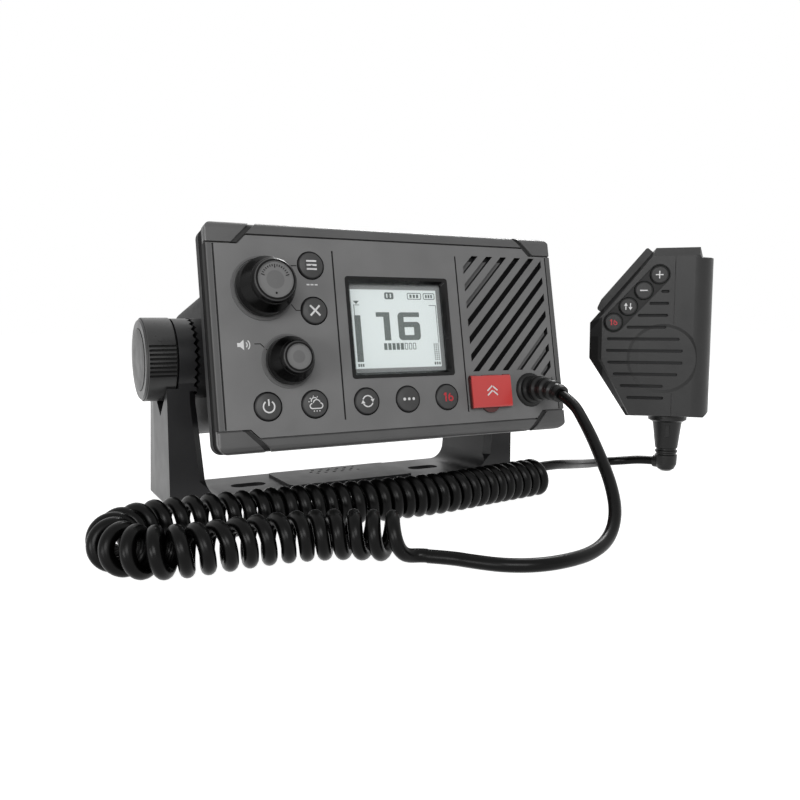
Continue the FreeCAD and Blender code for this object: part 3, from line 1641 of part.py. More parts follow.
def make_hanger_stud():
    """The button on the handset's back that hangs in a clip."""
    neck = rod_y(stud_neck_radius, 0, stud_z, handset_back_y, handset_back_y + stud_neck_length)
    head_y = handset_back_y + stud_neck_length
    profile = [
        (0, 0), (stud_head_radius, 0), (stud_head_radius, stud_head_thickness * 0.5),
        (stud_head_radius - 1.2, stud_head_thickness), (0, stud_head_thickness),
    ]
    return neck.fuse(turned(profile, Vector(0, head_y, stud_z), Vector(0, 1, 0)))


# ---------------------------------------------------------------- the assembly


def radio_nodes():
    """Every node of the tilting radio, still untilted."""
    top_trim, bottom_trim = make_trims()
    front_seal, rear_seal = make_seals()
    nodes = {
        "fascia": make_fascia(),
        "top_trim": top_trim,
        "bottom_trim": bottom_trim,
        "front_seal": front_seal,
        "front_housing": make_front_housing(),
        "rear_seal": rear_seal,
        "rear_housing": make_rear_housing(),
        "gimbal_inserts": make_inserts(),
        "housing_screws": make_housing_screws(),
        "display_frame": make_display_frame(),
        "display_window": make_display_window(),
        "display_module": make_display_module(),
        "key_membrane": make_membrane(),
        "channel_knob": make_knob(*channel_knob_sizes),
        "channel_shaft": make_shaft(channel_x, channel_z, channel_height),
        "volume_knob": make_knob(*volume_knob_sizes),
        "volume_shaft": make_shaft(volume_x, volume_z, volume_height),
        "encoders": make_encoders(),
        "emergency_cover": make_cover(),
        "cover_pin": make_cover_pin(),
        "emergency_key": make_emergency_key(),
        "speaker_cloth": make_speaker_cloth(),
        "speaker": make_speaker(),
        "front_board": make_front_board(),
        "main_board": make_main_board(),
        "antenna_socket": make_antenna_socket(),
        "power_inlet": make_power_inlet(),
        "data_inlet": make_data_inlet(),
        "cord_gland": make_gland(),
        "cord_boot": make_cord_boot(),
    }
    for name, x, z in key_places():
        nodes[name] = make_key(x, z)
    return nodes


def handset_nodes():
    """Every node of the handset, in its own frame."""
    nodes = {
        "handset_front": make_handset_front(),
        "handset_back": make_handset_back(),
        "talk_lever": make_talk_lever(),
        "handset_speaker": make_handset_speaker(),
        "handset_board": make_handset_board(),
        "handset_screws": make_handset_screws(),
        "hanger_stud": make_hanger_stud(),
    }
    for name, (x, z) in handset_keys.items():
        nodes[name] = make_handset_key(x, z)
    return nodes


def all_nodes():
    """Every node in the object's own frame."""
    nodes = {"bracket": make_bracket()}
    nodes.update(make_gimbal_knobs())
    for name, shape in radio_nodes().items():
        nodes[name] = in_radio(shape)
    for name, shape in handset_nodes().items():
        nodes[name] = in_handset(shape)
    nodes["handset_boot"] = make_handset_boot()
    nodes["cord_lead"] = tube(lead_route(), cable_diameter, "cord_lead")
    nodes["cord_coil"] = tube(coil_route(), coil_diameter, "cord_coil")
    nodes["cord_tail"] = tube(tail_route(), cable_diameter, "cord_tail")
    return nodes


def main():
    """Builds every node and writes one STEP file for each."""
    os.makedirs("parts", exist_ok=True)
    nodes = all_nodes()
    for name, shape in nodes.items():
        solids = shape.Solids
        print(name, "solids", len(solids), "valid", shape.isValid(), "volume", round(shape.Volume, 1))
        shape.exportStep(os.path.join("parts", name + ".step"))
    print("nodes", len(nodes))


main()
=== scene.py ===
# %% [markdown]
# # A VHF marine radio on its yoke, dressed in Blender
#
# The shapes of the radio come from a imported model that is already in its real place and size.
# This lesson adds what such a model can't hold: the rubber of a curly cord, the grain of
# moulded plastic, the lit display, the signs on the keys, and the light that shows them.
# The first cell loads the model, and a function in it measures the box of a part.

# %% Load the imported model
import json
import math

import bpy
from mathutils import Matrix, Vector


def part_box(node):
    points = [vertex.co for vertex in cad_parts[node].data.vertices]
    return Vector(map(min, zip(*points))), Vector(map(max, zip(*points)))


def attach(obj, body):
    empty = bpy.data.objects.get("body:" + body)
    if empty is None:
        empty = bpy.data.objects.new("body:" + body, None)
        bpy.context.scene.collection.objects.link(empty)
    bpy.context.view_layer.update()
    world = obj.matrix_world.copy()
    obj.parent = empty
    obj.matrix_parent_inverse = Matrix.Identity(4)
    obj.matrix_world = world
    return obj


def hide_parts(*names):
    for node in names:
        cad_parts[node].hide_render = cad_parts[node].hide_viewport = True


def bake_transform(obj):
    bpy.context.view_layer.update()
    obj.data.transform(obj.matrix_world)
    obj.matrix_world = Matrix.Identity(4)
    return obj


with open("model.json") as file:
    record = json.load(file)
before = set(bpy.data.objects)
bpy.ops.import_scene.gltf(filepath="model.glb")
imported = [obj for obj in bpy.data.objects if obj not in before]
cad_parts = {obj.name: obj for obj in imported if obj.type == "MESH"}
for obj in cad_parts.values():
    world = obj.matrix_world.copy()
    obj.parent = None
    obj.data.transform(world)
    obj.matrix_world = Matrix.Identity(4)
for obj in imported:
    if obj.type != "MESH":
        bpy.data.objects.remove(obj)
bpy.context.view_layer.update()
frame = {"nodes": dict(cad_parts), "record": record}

MM = 0.001
scene = bpy.context.scene

# %% [markdown]
# ## The camera
#
# The camera stands low, in front and to the left, and looks slightly down. It is placed by
# its own position and the direction it looks in. The tracking quaternion turns the camera's
# own minus Z axis to that direction and keeps its top upwards, so the horizon stays level.

# %% Place the camera
camera_data = bpy.data.cameras.new("camera")
camera_data.sensor_width = 36.0
camera_data.lens = 35.775
camera = bpy.data.objects.new("camera", camera_data)
scene.collection.objects.link(camera)
camera.location = Vector((-157.4, -356.4, 81.4)) * MM
looking = Vector((0.470, 0.877, -0.102))
camera.rotation_euler = looking.to_track_quat("-Z", "Y").to_euler()
scene.camera = camera
print("camera looks along", [round(v, 3) for v in looking])

# %% [markdown]
# ## World and floor
#
# A product on white needs a background that is white to the eye, and light that isn't. The
# camera, and whatever reflects or lets light through, sees the world as plain white by way of
# Light Path, while the light that the world gives to a surface stays low, so that shadows and
# dark plastics keep their depth. The floor does the same: it is a real grey surface, with a
# glow added that only direct views get, so it looks white and still takes a soft shadow.

# %% Set the world and the view
scene.view_settings.view_transform = "Standard"
world = bpy.data.worlds.new("white room")
scene.world = world
world.use_nodes = True
tree = world.node_tree
tree.nodes.clear()


def add_node(tree, kind, **settings):
    """A node in a tree, with its settings and its inputs' values."""
    node = tree.nodes.new(kind)
    for key, value in settings.items():
        if key in node.inputs:
            node.inputs[key].default_value = value
        else:
            setattr(node, key, value)
    return node


def calc(tree, operation, *values):
    """A Math node. Each value is a number or another node's output."""
    node = add_node(tree, "ShaderNodeMath", operation=operation)
    for socket, value in zip(node.inputs, values):
        if isinstance(value, (int, float)):
            socket.default_value = value
        else:
            tree.links.new(value, socket)
    return node.outputs[0]


def seen_directly(tree):
    """One for the camera's rays and for reflected and transmitted ones, nought for lighting."""
    path = add_node(tree, "ShaderNodeLightPath")
    camera, glossy = path.outputs["Is Camera Ray"], path.outputs["Is Glossy Ray"]
    through = path.outputs["Is Transmission Ray"]
    return calc(tree, "MAXIMUM", calc(tree, "MAXIMUM", camera, glossy), through)


FILL = 0.16
fill = add_node(tree, "ShaderNodeBackground", Color=(1, 1, 1, 1), Strength=FILL)
white = add_node(tree, "ShaderNodeBackground", Color=(1, 1, 1, 1), Strength=1.0)
mixed = add_node(tree, "ShaderNodeMixShader")
out = add_node(tree, "ShaderNodeOutputWorld")
tree.links.new(seen_directly(tree), mixed.inputs[0])
tree.links.new(fill.outputs[0], mixed.inputs[1])
tree.links.new(white.outputs[0], mixed.inputs[2])
tree.links.new(mixed.outputs[0], out.inputs[0])
print("world fill", FILL)

# %% Lay the floor
GLOW = 0.93
FLOOR_WIDTH = 8.0
BELOW_THE_FEET = 0.2 * MM


def clear_selection():
    """Nothing selected and nothing active, so that an operator acts on new things only."""
    if bpy.context.object and bpy.context.object.mode != "OBJECT":
        bpy.ops.object.mode_set(mode="OBJECT")
    bpy.ops.object.select_all(action="DESELECT")


clear_selection()
bpy.ops.mesh.primitive_plane_add(size=FLOOR_WIDTH, location=(0, 0, -BELOW_THE_FEET))
floor = bpy.context.object
floor.name = "floor"
material = bpy.data.materials.new("white floor")
material.use_nodes = True
tree = material.node_tree
tree.nodes.clear()
diffuse = add_node(tree, "ShaderNodeBsdfDiffuse", Color=(0.6, 0.6, 0.6, 1))
glow = add_node(tree, "ShaderNodeEmission", Color=(1, 1, 1, 1))
summed = add_node(tree, "ShaderNodeAddShader")
out = add_node(tree, "ShaderNodeOutputMaterial")
tree.links.new(calc(tree, "MULTIPLY", seen_directly(tree), GLOW), glow.inputs["Strength"])
tree.links.new(diffuse.outputs[0], summed.inputs[0])
tree.links.new(glow.outputs[0], summed.inputs[1])
tree.links.new(summed.outputs[0], out.inputs[0])
floor.data.materials.append(material)
print("floor", [round(v, 1) for v in floor.dimensions])

# %% [markdown]
# ## Soft boxes
#
# Satin plastic shows its shape by broad highlights, and those are pictures of the lamps. A
# large box on the left lights the sides of the yoke and of its clamp knobs, a broad one by the
# camera lights the panel evenly, and one high at the back draws the bright line along the top
# of round things. The left box stands low, so that its light also gets under the radio.

# %% Hang the soft boxes


def soft_box(name, place, target, size, power):
    """A rectangular area lamp that looks at a point."""
    lamp = bpy.data.lights.new(name, "AREA")
    lamp.shape = "RECTANGLE"
    lamp.size, lamp.size_y = size
    lamp.energy = power
    box = bpy.data.objects.new(name, lamp)
    scene.collection.objects.link(box)
    box.location = Vector(place)
    direction = Vector(target) - Vector(place)
    box.rotation_euler = direction.to_track_quat("-Z", "Y").to_euler()


soft_box("left box", (-1.00, -0.58, 0.16), (0, -0.03, 0.05), (0.50, 0.30), 3.9)
soft_box("front box", (-0.45, -1.10, 0.55), (0.02, -0.05, 0.05), (0.70, 0.45), 8.0)
soft_box("back box", (0.50, 0.55, 0.75), (0.0, 0.0, 0.06), (0.50, 0.22), 5.5)

# %% [markdown]
# ## The cord's routes
#
# The cord is one flexible thing in three stretches: a straight lead out of the boot on the
# face, a curly part that lies on the table in a long hook, and a straight tail into the
# handset. Each has a route: a NURBS spline whose control points are the places that the cord
# passes. Such a spline has no corners, which is how a cord with some stiffness lies.

# %% The three routes
LEAD = [
    (61.90, -92.21, 49.28), (61.90, -100.58, 45.98), (59.6, -108.5, 41.0), (57.2, -117.0, 34.8),
    (53.8, -126.5, 27.6), (50.2, -136.0, 19.8), (44.8, -144.8, 11.6), (36.5, -151.0, 5.0),
    (24.0, -156.2, 2.4), (9.5, -158.8, 2.4), (-1.5, -157.6, 2.4), (-10.5, -152.6, 2.4),
    (-16.5, -145.0, 2.4), (-21.2, -137.6, 2.4), (-27.0, -132.5, 2.4),
]
COIL = [
    (78.5, -65.5, 8.75), (60.0, -68.6, 8.75), (38.0, -71.8, 8.75), (12.0, -76.6, 8.75),
    (-14.0, -75.9, 8.75), (-40.0, -72.4, 8.75), (-62.0, -70.7, 8.75), (-79.0, -69.9, 8.75),
    (-94.0, -69.8, 8.75), (-107.7, -71.2, 8.75), (-117.7, -78.3, 8.75), (-121.5, -90.0, 8.75),
    (-117.7, -101.7, 8.75), (-107.7, -109.0, 8.75), (-94.0, -109.8, 8.75), (-78.5, -108.8, 8.75),
    (-60.0, -110.9, 8.75), (-43.0, -118.5, 8.75), (-27.0, -132.5, 8.75),
]
TAIL = [
    (77.58, -60.0, 11.47), (86.46, -58.52, 11.47), (103.6, -50.4, 8.8), (121.5, -38.2, 5.4),
    (137.0, -29.4, 3.0), (149.0, -26.0, 2.4), (157.2, -30.0, 2.8), (161.58, -39.94, 4.8),
    (164.76, -46.18, 4.8),
]
CORD_RADIUS = 2.35 * MM
CURL_RADIUS = 2.5 * MM
TAPER_POINTS = 90


def route_curve(name, places, fine=12):
    """A NURBS spline whose control points are a route's places, in millimetres."""
    data = bpy.data.curves.new(name, "CURVE")
    data.dimensions = "3D"
    data.resolution_u = fine
    spline = data.splines.new("NURBS")
    spline.points.add(len(places) - 1)
    for point, (x, y, z) in zip(spline.points, places):
        point.co = (x * MM, y * MM, z * MM, 1)
    spline.order_u = 3
    spline.use_endpoint_u = True
    curve = bpy.data.objects.new(name, data)
    scene.collection.objects.link(curve)
    return curve


def line_of(curve):
    """The points along a curve's own line, in order, as Blender draws it."""
    mesh = bpy.data.meshes.new_from_object(curve)
    points = [v.co.copy() for v in mesh.vertices]
    bpy.data.meshes.remove(mesh)
    return points


def length_of(points):
    """The length of a line of points, in metres."""
    return sum((b - a).length for a, b in zip(points, points[1:]))


lead_route = route_curve("lead_route", LEAD)
coil_route = route_curve("coil_route", COIL, fine=24)
tail_route = route_curve("tail_route", TAIL)
lead_line, coil_line, tail_line = line_of(lead_route), line_of(coil_route), line_of(tail_route)
for name, line in (("lead", lead_line), ("coil", coil_line), ("tail", tail_line)):
    print(name, "route", len(line), "points", round(length_of(line) / MM, 1), "mm")

# %% [markdown]
# ## From a line to a cord
#
# A curve's bevel sweeps a round section along it, which is the quickest way to a cord. The
# straight stretches cross a joint, and only a mesh can bend between two bodies, so each
# bevelled curve is turned into a mesh once its line is final. Wound rubber swells a little,
# so the curl is thicker than the lead, and narrows at both ends to meet it.

# %% Sweep a round section along a line


def only(thing):
    """One object selected and active."""
    clear_selection()
    thing.select_set(True)
    bpy.context.view_layer.objects.active = thing


def cord_along(name, points, radius, sides=4, end_share=1.0):
    """A round mesh tube along a line of points, with ends of a share of its radius."""
    data = bpy.data.curves.new(name, "CURVE")
    data.dimensions = "3D"
    data.twist_mode = "MINIMUM"
    spline = data.splines.new("POLY")
    spline.points.add(len(points) - 1)
    for i, (point, place) in enumerate(zip(spline.points, points)):
        point.co = (*place, 1)
        inwards = min(1.0, i / TAPER_POINTS, (len(points) - 1 - i) / TAPER_POINTS)
        point.radius = end_share + (1 - end_share) * inwards
    data.bevel_depth = radius
    data.bevel_resolution = sides
    data.use_fill_caps = True
    tube = bpy.data.objects.new(name, data)
    scene.collection.objects.link(tube)
    only(tube)
    bpy.ops.object.convert(target="MESH")
    tube = bpy.context.object
    bpy.ops.object.shade_smooth()
    print(name, len(tube.data.polygons), "faces", round(length_of(points) / MM, 1), "mm long")
    return tube


lead = cord_along("straight_lead", lead_line, CORD_RADIUS)
tail = cord_along("straight_tail", tail_line, CORD_RADIUS)

# %% [markdown]
# ## The curly stretch
#
# The curl is a helix about the route. Its turns are not evenly spaced: a used cord is pushed
# together where it lies straight, and fans out round the bend. So the turns per millimetre
# follow a short table along the route. At both ends the rate falls gently to nothing, so the
# strand has no kink where it goes over into the straight cord.
#
# Each turn goes round the route's own direction. That is blended from point to point, since a
# direction that changed in steps would shift the strand sideways at every step.

# %% Wind the helix
PITCHES = [
    (0.0, 5.2), (0.12, 5.2), (0.35, 5.3), (0.46, 5.6), (0.53, 6.6), (0.60, 7.2), (0.70, 6.8),
    (0.85, 6.5), (1.0, 6.4),
]
HELIX_START, HELIX_END = 6.1 * MM, 6.2 * MM
RUN_OUT = 13 * MM
LEAVE_ANGLE = math.radians(64)
STRAND_STEP = 0.15 * MM


def between(table, x):
    """A value read from a table of (place, value) pairs, with straight lines between them."""
    for (x0, y0), (x1, y1) in zip(table, table[1:]):
        if x <= x1:
            return y0 + (y1 - y0) * max(0.0, x - x0) / (x1 - x0)
    return table[-1][1]


def turn_rate(along, total):
    """Radians of turn per metre at a place along the route, uneven as in a used cord."""
    share = along / total
    pitch = between(PITCHES, share) * MM
    pitch *= 1 + 0.035 * math.sin(41 * share) + 0.03 * math.sin(97 * share + 1.0)
    fade = max(0.0, min(1.0, along / RUN_OUT, (total - along) / RUN_OUT))
    return math.tau / pitch * fade ** 2


def sampled(points, step):
    """Places and headings at even steps along a line of points."""
    found = []
    steps = [(b - a).normalized() for a, b in zip(points, points[1:])]
    turned = [steps[0], *((a + b).normalized() for a, b in zip(steps, steps[1:])), steps[-1]]
    walked, due = 0.0, 0.0
    for a, b, heading, following in zip(points, points[1:], turned, turned[1:]):
        run = (b - a).length
        while due <= walked + run and run > 0:
            part = (due - walked) / run
            found.append((a.lerp(b, part), heading.lerp(following, part).normalized()))
            due += step
        walked += run
    if (points[-1] - found[-1][0]).length < step / 2:
        found.pop()
    found.append((points[-1], (points[-1] - points[-2]).normalized()))
    return found


def wound(points, step=STRAND_STEP):
    """A right-handed helix about a line: from high on its far side to its bottom at the end."""
    total = length_of(points)
    places = sampled(points, step)
    angles = [0.0]
    for i in range(1, len(places)):
        here = min(total, (i - 0.5) * step)
        angles.append(angles[-1] + turn_rate(here, total) * step)
    goal = (round(angles[-1] / math.tau - 0.5) + 0.5) * math.tau - LEAVE_ANGLE
    up = Vector((0, 0, 1))
    strand = []
    for i, ((place, heading), angle) in enumerate(zip(places, angles)):
        share = i / (len(places) - 1)
        angle = LEAVE_ANGLE + angle * goal / angles[-1]
        radius = HELIX_START + (HELIX_END - HELIX_START) * share
        side = heading.cross(up).normalized()
        strand.append(place + (up * math.cos(angle) + side * math.sin(angle)) * radius)
    print("helix turns", round(goal / math.tau, 1), "strand", round(length_of(strand), 3), "m")
    return strand


strand = wound(coil_line)
curl = cord_along("curly_cord", strand, CURL_RADIUS, sides=6, end_share=CORD_RADIUS / CURL_RADIUS)
for route in (lead_route, coil_route, tail_route):
    bpy.data.objects.remove(route)

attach(curl, "yoke")
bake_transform(lead)
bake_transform(tail)
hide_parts("cord_lead")
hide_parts("cord_coil")
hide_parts("cord_tail")

# %% [markdown]
# ## Drawings on the parts
#
# Every part keeps its place in its mesh, so Object coordinates are metres from the middle of
# the table's top. The face of the radio leans back, and the handset is turned, so a pattern
# drawn on either needs their own level axes. A Mapping node turns and shifts the coordinates
# into those of the level drawing, in millimetres: x to the right, z up, and y into the part.

# %% The bodies' own millimetres
PIVOT_Y, PIVOT_Z = -7.0, 64.0
RADIO = (Matrix.Translation((0, PIVOT_Y * MM, PIVOT_Z * MM))
         @ Matrix.Rotation(math.radians(-10.5), 4, "X") @ Matrix.Translation((0, -0.060, 0)))
HANDSET = (Matrix.Translation((0.162, -0.0465, 0.075))
           @ Matrix.Rotation(math.radians(-44), 4, "Z") @ Matrix.Translation((0, -0.0134, 0)))
LEVEL = Matrix.Identity(4)
PER_METRE = 1000.0


class Drawing:
    """A part's level coordinates in millimetres, as three sockets of a material's tree."""

    def __init__(self, tree, place, stand):
        back = stand.inverted()
        mapping = add_node(tree, "ShaderNodeMapping")
        mapping.inputs["Scale"].default_value = (PER_METRE, PER_METRE, PER_METRE)
        mapping.inputs["Rotation"].default_value = back.to_euler()
        mapping.inputs["Location"].default_value = back.to_translation() * PER_METRE
        parts = add_node(tree, "ShaderNodeSeparateXYZ")
        tree.links.new(place, mapping.inputs["Vector"])
        tree.links.new(mapping.outputs[0], parts.inputs[0])
        self.tree = tree
        self.x, self.y, self.z = parts.outputs


def ramp(tree, value, low, high):
    """Nought at the low value, one at the high one, and even between."""
    node = add_node(tree, "ShaderNodeMapRange")
    node.inputs["From Min"].default_value = low
    node.inputs["From Max"].default_value = high
    tree.links.new(value, node.inputs["Value"])
    return node.outputs["Result"]


def span(tree, a, b):
    """The length of a vector with these two parts."""
    squares = calc(tree, "ADD", calc(tree, "MULTIPLY", a, a), calc(tree, "MULTIPLY", b, b))
    return calc(tree, "SQRT", squares)


print("radio leans", round(math.degrees(RADIO.to_euler().x), 1), "handset turns",
      round(math.degrees(HANDSET.to_euler().z), 1))

# %% [markdown]
# ## Masks
#
# A mask says where a second tone lies on a moulding. Many of these tones are painted shade:
# the floor of a slot, for one, is painted black beside a satin face where shade falls. A mask
# here is a recipe, a function that makes its nodes when a material is built, so that a finish
# can be written as a short list. The last few functions measure a place in the drawing, for
# strips to lie between two values of that measure.

# %% Recipes for masks


def deeper(near, far):
    """None at the first depth behind the face, full at the second. In front is negative."""
    return lambda d: ramp(d.tree, d.y, near, far)


def within(d, first, second, radius, soft):
    """Nearer than a radius to a point. Each part is an axis and the point's place on it."""
    away = span(d.tree, calc(d.tree, "SUBTRACT", *first), calc(d.tree, "SUBTRACT", *second))
    return ramp(d.tree, away, radius + soft, radius - soft)


def disc(x, z, radius, soft=0.2):
    """Inside a circle on the face."""
    return lambda d: within(d, (d.x, x), (d.z, z), radius, soft)


def wheel(radius, soft=0.1):
    """Inside a cylinder about the line of the clamp knobs."""
    return lambda d: within(d, (d.y, PIVOT_Y), (d.z, PIVOT_Z), radius, soft)


def strip(measure, low, high, soft=0.15):
    """Between two values of a measure of the drawing."""
    def build(d):
        value = measure(d)
        return calc(d.tree, "MULTIPLY", ramp(d.tree, value, low - soft, low + soft),
                    ramp(d.tree, value, high + soft, high - soft))
    return build


def combined(operation, masks):
    """Masks put together, one after another, by a Math operation."""
    def build(d):
        result = masks[0](d)
        for mask in masks[1:]:
            result = calc(d.tree, operation, result, mask(d))
        return result
    return build


def both(*masks):
    """Where all the masks are."""
    return combined("MULTIPLY", masks)


def either(*masks):
    """Where any of the masks is."""
    return combined("MAXIMUM", masks)


def outside(mask):
    """Where a mask isn't."""
    return lambda d: calc(d.tree, "SUBTRACT", 1.0, mask(d))


def ring(x, z, inner, outer):
    """Between two circles about one place on the face."""
    return both(disc(x, z, outer, 0.1), outside(disc(x, z, inner, 0.1)))


def across(d):
    """The drawing's x."""
    return d.x


def upright(d):
    """The drawing's z."""
    return d.z


def diagonal(d):
    """How far a place is to the lower right."""
    return calc(d.tree, "SUBTRACT", d.x, d.z)


def aside(d):
    """How far a place is from the middle, to either side."""
    return calc(d.tree, "ABSOLUTE", d.x)


def from_middle(d):
    """How far a place is from the middle, as steps across and up added together."""
    return calc(d.tree, "ADD", aside(d), calc(d.tree, "ABSOLUTE", d.z))


print("mask recipes ready")

# %% [markdown]
# ## Finishes
#
# Every finish is made of the same few ideas. A Principled shader holds the plain facts of the
# surface. A slow noise varies the colour and the gloss over centimetres, as a moulding's skin
# does, and a fast one bumps it, as the grain of the mould does. Then the masks lay the other
# tones over it. Dark plastics have a low specular level, or the white room would grey them.

# %% Tones and noises


def tone(code):
    """A colour from its six-figure screen code, as the linear values that a shader needs."""
    parts = [int(code[i:i + 2], 16) / 255 for i in (0, 2, 4)]
    linear = [c / 12.92 if c <= 0.04045 else ((c + 0.055) / 1.055) ** 2.4 for c in parts]
    return (*linear, 1.0)


def new_material(name):
    """A material with a Principled shader, its tree and its Object coordinates."""
    material = bpy.data.materials.new(name)
    material.use_nodes = True
    tree = material.node_tree
    tree.nodes.clear()
    shader = add_node(tree, "ShaderNodeBsdfPrincipled")
    output = add_node(tree, "ShaderNodeOutputMaterial")
    tree.links.new(shader.outputs[0], output.inputs[0])
    place = add_node(tree, "ShaderNodeTexCoord")
    return material, tree, shader, place.outputs["Object"]


NOISE_LOW, NOISE_HIGH = 0.3, 0.7


def noise(tree, place, size_mm, detail=2.0):
    """A noise whose features are about this many millimetres across."""
    node = add_node(tree, "ShaderNodeTexNoise", Scale=PER_METRE / size_mm, Detail=detail)
    tree.links.new(place, node.inputs["Vector"])
    return node.outputs["Fac"]


def spread(tree, value, low, high):
    """A noise's middle values spread over a range."""
    node = add_node(tree, "ShaderNodeMapRange")
    node.inputs["From Min"].default_value = NOISE_LOW
    node.inputs["From Max"].default_value = NOISE_HIGH
    node.inputs["To Min"].default_value = low
    node.inputs["To Max"].default_value = high
    tree.links.new(value, node.inputs["Value"])
    return node.outputs["Result"]


def blended(tree, amount, first, second):
    """A colour between two, each of them a tone or another node's output."""
    node = add_node(tree, "ShaderNodeMix", data_type="RGBA")
    for key, value in (("A", first), ("B", second)):
        if isinstance(value, tuple):
            node.inputs[key].default_value = value
        else:
            tree.links.new(value, node.inputs[key])
    tree.links.new(amount, node.inputs["Factor"])
    return [o for o in node.outputs if o.type == "RGBA"][0]


def bump(tree, shader, height, depth_mm):
    """A bump of this depth on a shader's normal."""
    node = add_node(tree, "ShaderNodeBump", Strength=1.0, Distance=depth_mm * MM)
    tree.links.new(height, node.inputs["Height"])
    tree.links.new(node.outputs[0], shader.inputs["Normal"])


print("tone 808080 is", round(tone("808080")[0], 3), "linear")

# %% The general finish


def finish(name, colour, roughness, stand=LEVEL, layers=(), vary=0.08, grain_mm=0.45,
           grain_depth=0.02, patch_mm=18, metallic=0.0, level=0.35, ior=1.5, coat=0.0,
           rough_vary=0.05):
    """A surface with drifting tone, uneven gloss, a fine grain, and other tones by masks."""
    material, tree, shader, place = new_material(name)
    base = tone(colour)
    dark = (*(c * (1 - vary) for c in base[:3]), 1.0)
    pale = (*(min(1.0, c * (1 + vary)) for c in base[:3]), 1.0)
    surface = blended(tree, spread(tree, noise(tree, place, patch_mm), 0, 1), dark, pale)
    uneven = noise(tree, place, patch_mm * 0.4, 3)
    gloss = spread(tree, uneven, roughness - rough_vary, roughness + rough_vary)
    drawing = Drawing(tree, place, stand) if layers else None
    for mask, code, rough in layers:
        amount = mask(drawing)
        surface = blended(tree, amount, surface, tone(code))
        change = calc(tree, "MULTIPLY", amount, calc(tree, "SUBTRACT", rough, gloss))
        gloss = calc(tree, "ADD", gloss, change)
    tree.links.new(surface, shader.inputs["Base Color"])
    tree.links.new(gloss, shader.inputs["Roughness"])
    for key, value in (("Metallic", metallic), ("Specular IOR Level", level), ("IOR", ior),
                       ("Coat Weight", coat), ("Coat Roughness", 0.12)):
        shader.inputs[key].default_value = value
    bump(tree, shader, noise(tree, place, grain_mm, 3), grain_depth)
    return material


# %% [markdown]
# ## The plain finishes
#
# A node with no look of its own wears the finish of its material slot. The bracket is a
# fibre-filled plastic, a little rough; the casting behind is coated metal with an orange-peel
# skin; the cord's rubber is smooth and takes a wide soft shine along each turn.

# %% Finishes by slot
FINISHES = {
    "bracket_plastic": finish("satin_bracket", "1e1e1f", 0.38, grain_mm=0.5, grain_depth=0.008,
                              level=0.30, rough_vary=0.02),
    "housing_metal": finish("coated_casting", "0e0e0f", 0.55, vary=0.04, grain_mm=0.7,
                            grain_depth=0.05, level=0.2, rough_vary=0.03),
    "rim_plastic": finish("dark_rim", "0c0c0c", 0.75, level=0.15, ior=1.3),
    "seal_rubber": finish("seal_rubber", "0c0c0c", 0.65, level=0.25),
    "display": finish("sign_ink", "d8d8d8", 0.5, vary=0.03),
    "shaft_metal": finish("shaft_steel", "9a9a9c", 0.3, metallic=1.0, level=0.5),
    "board": finish("board_green", "1f4a2c", 0.5),
    "part_black": finish("moulded_black", "0a0a0a", 0.42, level=0.25),
    "brass": finish("plated_brass", "c9b27a", 0.28, metallic=1.0, level=0.5),
    "steel": finish("stainless", "b9bbbd", 0.25, metallic=1.0, level=0.5),
    "cord_rubber": finish("cord_rubber", "030303", 0.30, vary=0.15, grain_mm=0.8,
                          grain_depth=0.008, ior=1.28),
}
print("slot finishes", sorted(FINISHES))

# %% [markdown]
# ## The face of the radio
#
# The panel is a satin grey moulding with holes for keys and knobs. What lies more than 0.3 mm
# deep is in shadow on the real one, so the walls of every hole and slot are painted black by
# depth, as painted shade. The ring round each knob is a shade darker than the panel. The panel's
# left and right edges and its sides further back are painted darker, ending in black: painted
# shade where they turn away from the light. The trims have a notch at each corner, painted dark
# along a diagonal line as painted shade: the sum of the steps across and up is the same all
# along it. The trims' sides further back are painted near black as painted shade too.

# %% Panel, trims, frame and keys
# Near black for painted shade: the walls of holes, the feet of keys on radio and handset, and the
# pits and slots of the handset.
SHADE_BLACK = "0b0b0c"
CHANNEL_KNOB, VOLUME_KNOB = (-59.3, 18.2), (-51.4, -9.9)
inner_face = strip(across, -78.5, 78.5)
knob_rings = either(ring(*CHANNEL_KNOB, 11.7, 12.5), ring(*VOLUME_KNOB, 9.7, 10.5))
FINISHES["panel"] = finish(
    "panel_satin", "6e6e6e", 0.44, RADIO, grain_mm=0.35, grain_depth=0.015,
    layers=[(knob_rings, "5a5a5a", 0.4),
            (both(deeper(0.1, 0.3), inner_face), SHADE_BLACK, 0.6),
            # Painted shade: the panel's sides go near black further back, and its left and right
            # edges turn darker grey and then black.
            (both(deeper(1.4, 2.2), outside(inner_face)), "141414", 0.9),
            (strip(aside, 77.9, 90), "545454", 0.5),
            (strip(aside, 80.0, 90), "161616", 0.8)])
FINISHES["trim"] = finish(
    "trim_satin", "565656", 0.36, RADIO, grain_mm=0.3, grain_depth=0.01,
    # Painted shade: the notch at each corner, and the trim's sides further back.
    layers=[(strip(from_middle, 103.6, 106.2), "141414", 0.5),
            (both(deeper(2.2, 3.2), outside(inner_face)), "141414", 0.9)])
FINISHES["frame"] = finish("black_frame", "060606", 0.24, RADIO, grain_depth=0.004, level=0.25)
FINISHES["keys"] = finish(
    "key_rubber", "3c3c3c", 0.42, RADIO, grain_mm=0.3,
    # Painted shade on each key near the panel: black from 0.2 mm in front of it and behind it,
    # fading out by 0.75 mm.
    layers=[(deeper(-0.75, -0.2), SHADE_BLACK, 0.6)])
# The cloth is painted black in a diagonal band: painted shade seen through the middle slots of the
# grille.
FINISHES["cloth"] = finish(
    "speaker_cloth", "6c6c6c", 0.8, RADIO, grain_mm=0.5, grain_depth=0.1, level=0.2,
    layers=[(strip(diagonal, 23.7, 70.0, 0.5), "060606", 0.9)])
print("finishes so far", len(FINISHES))
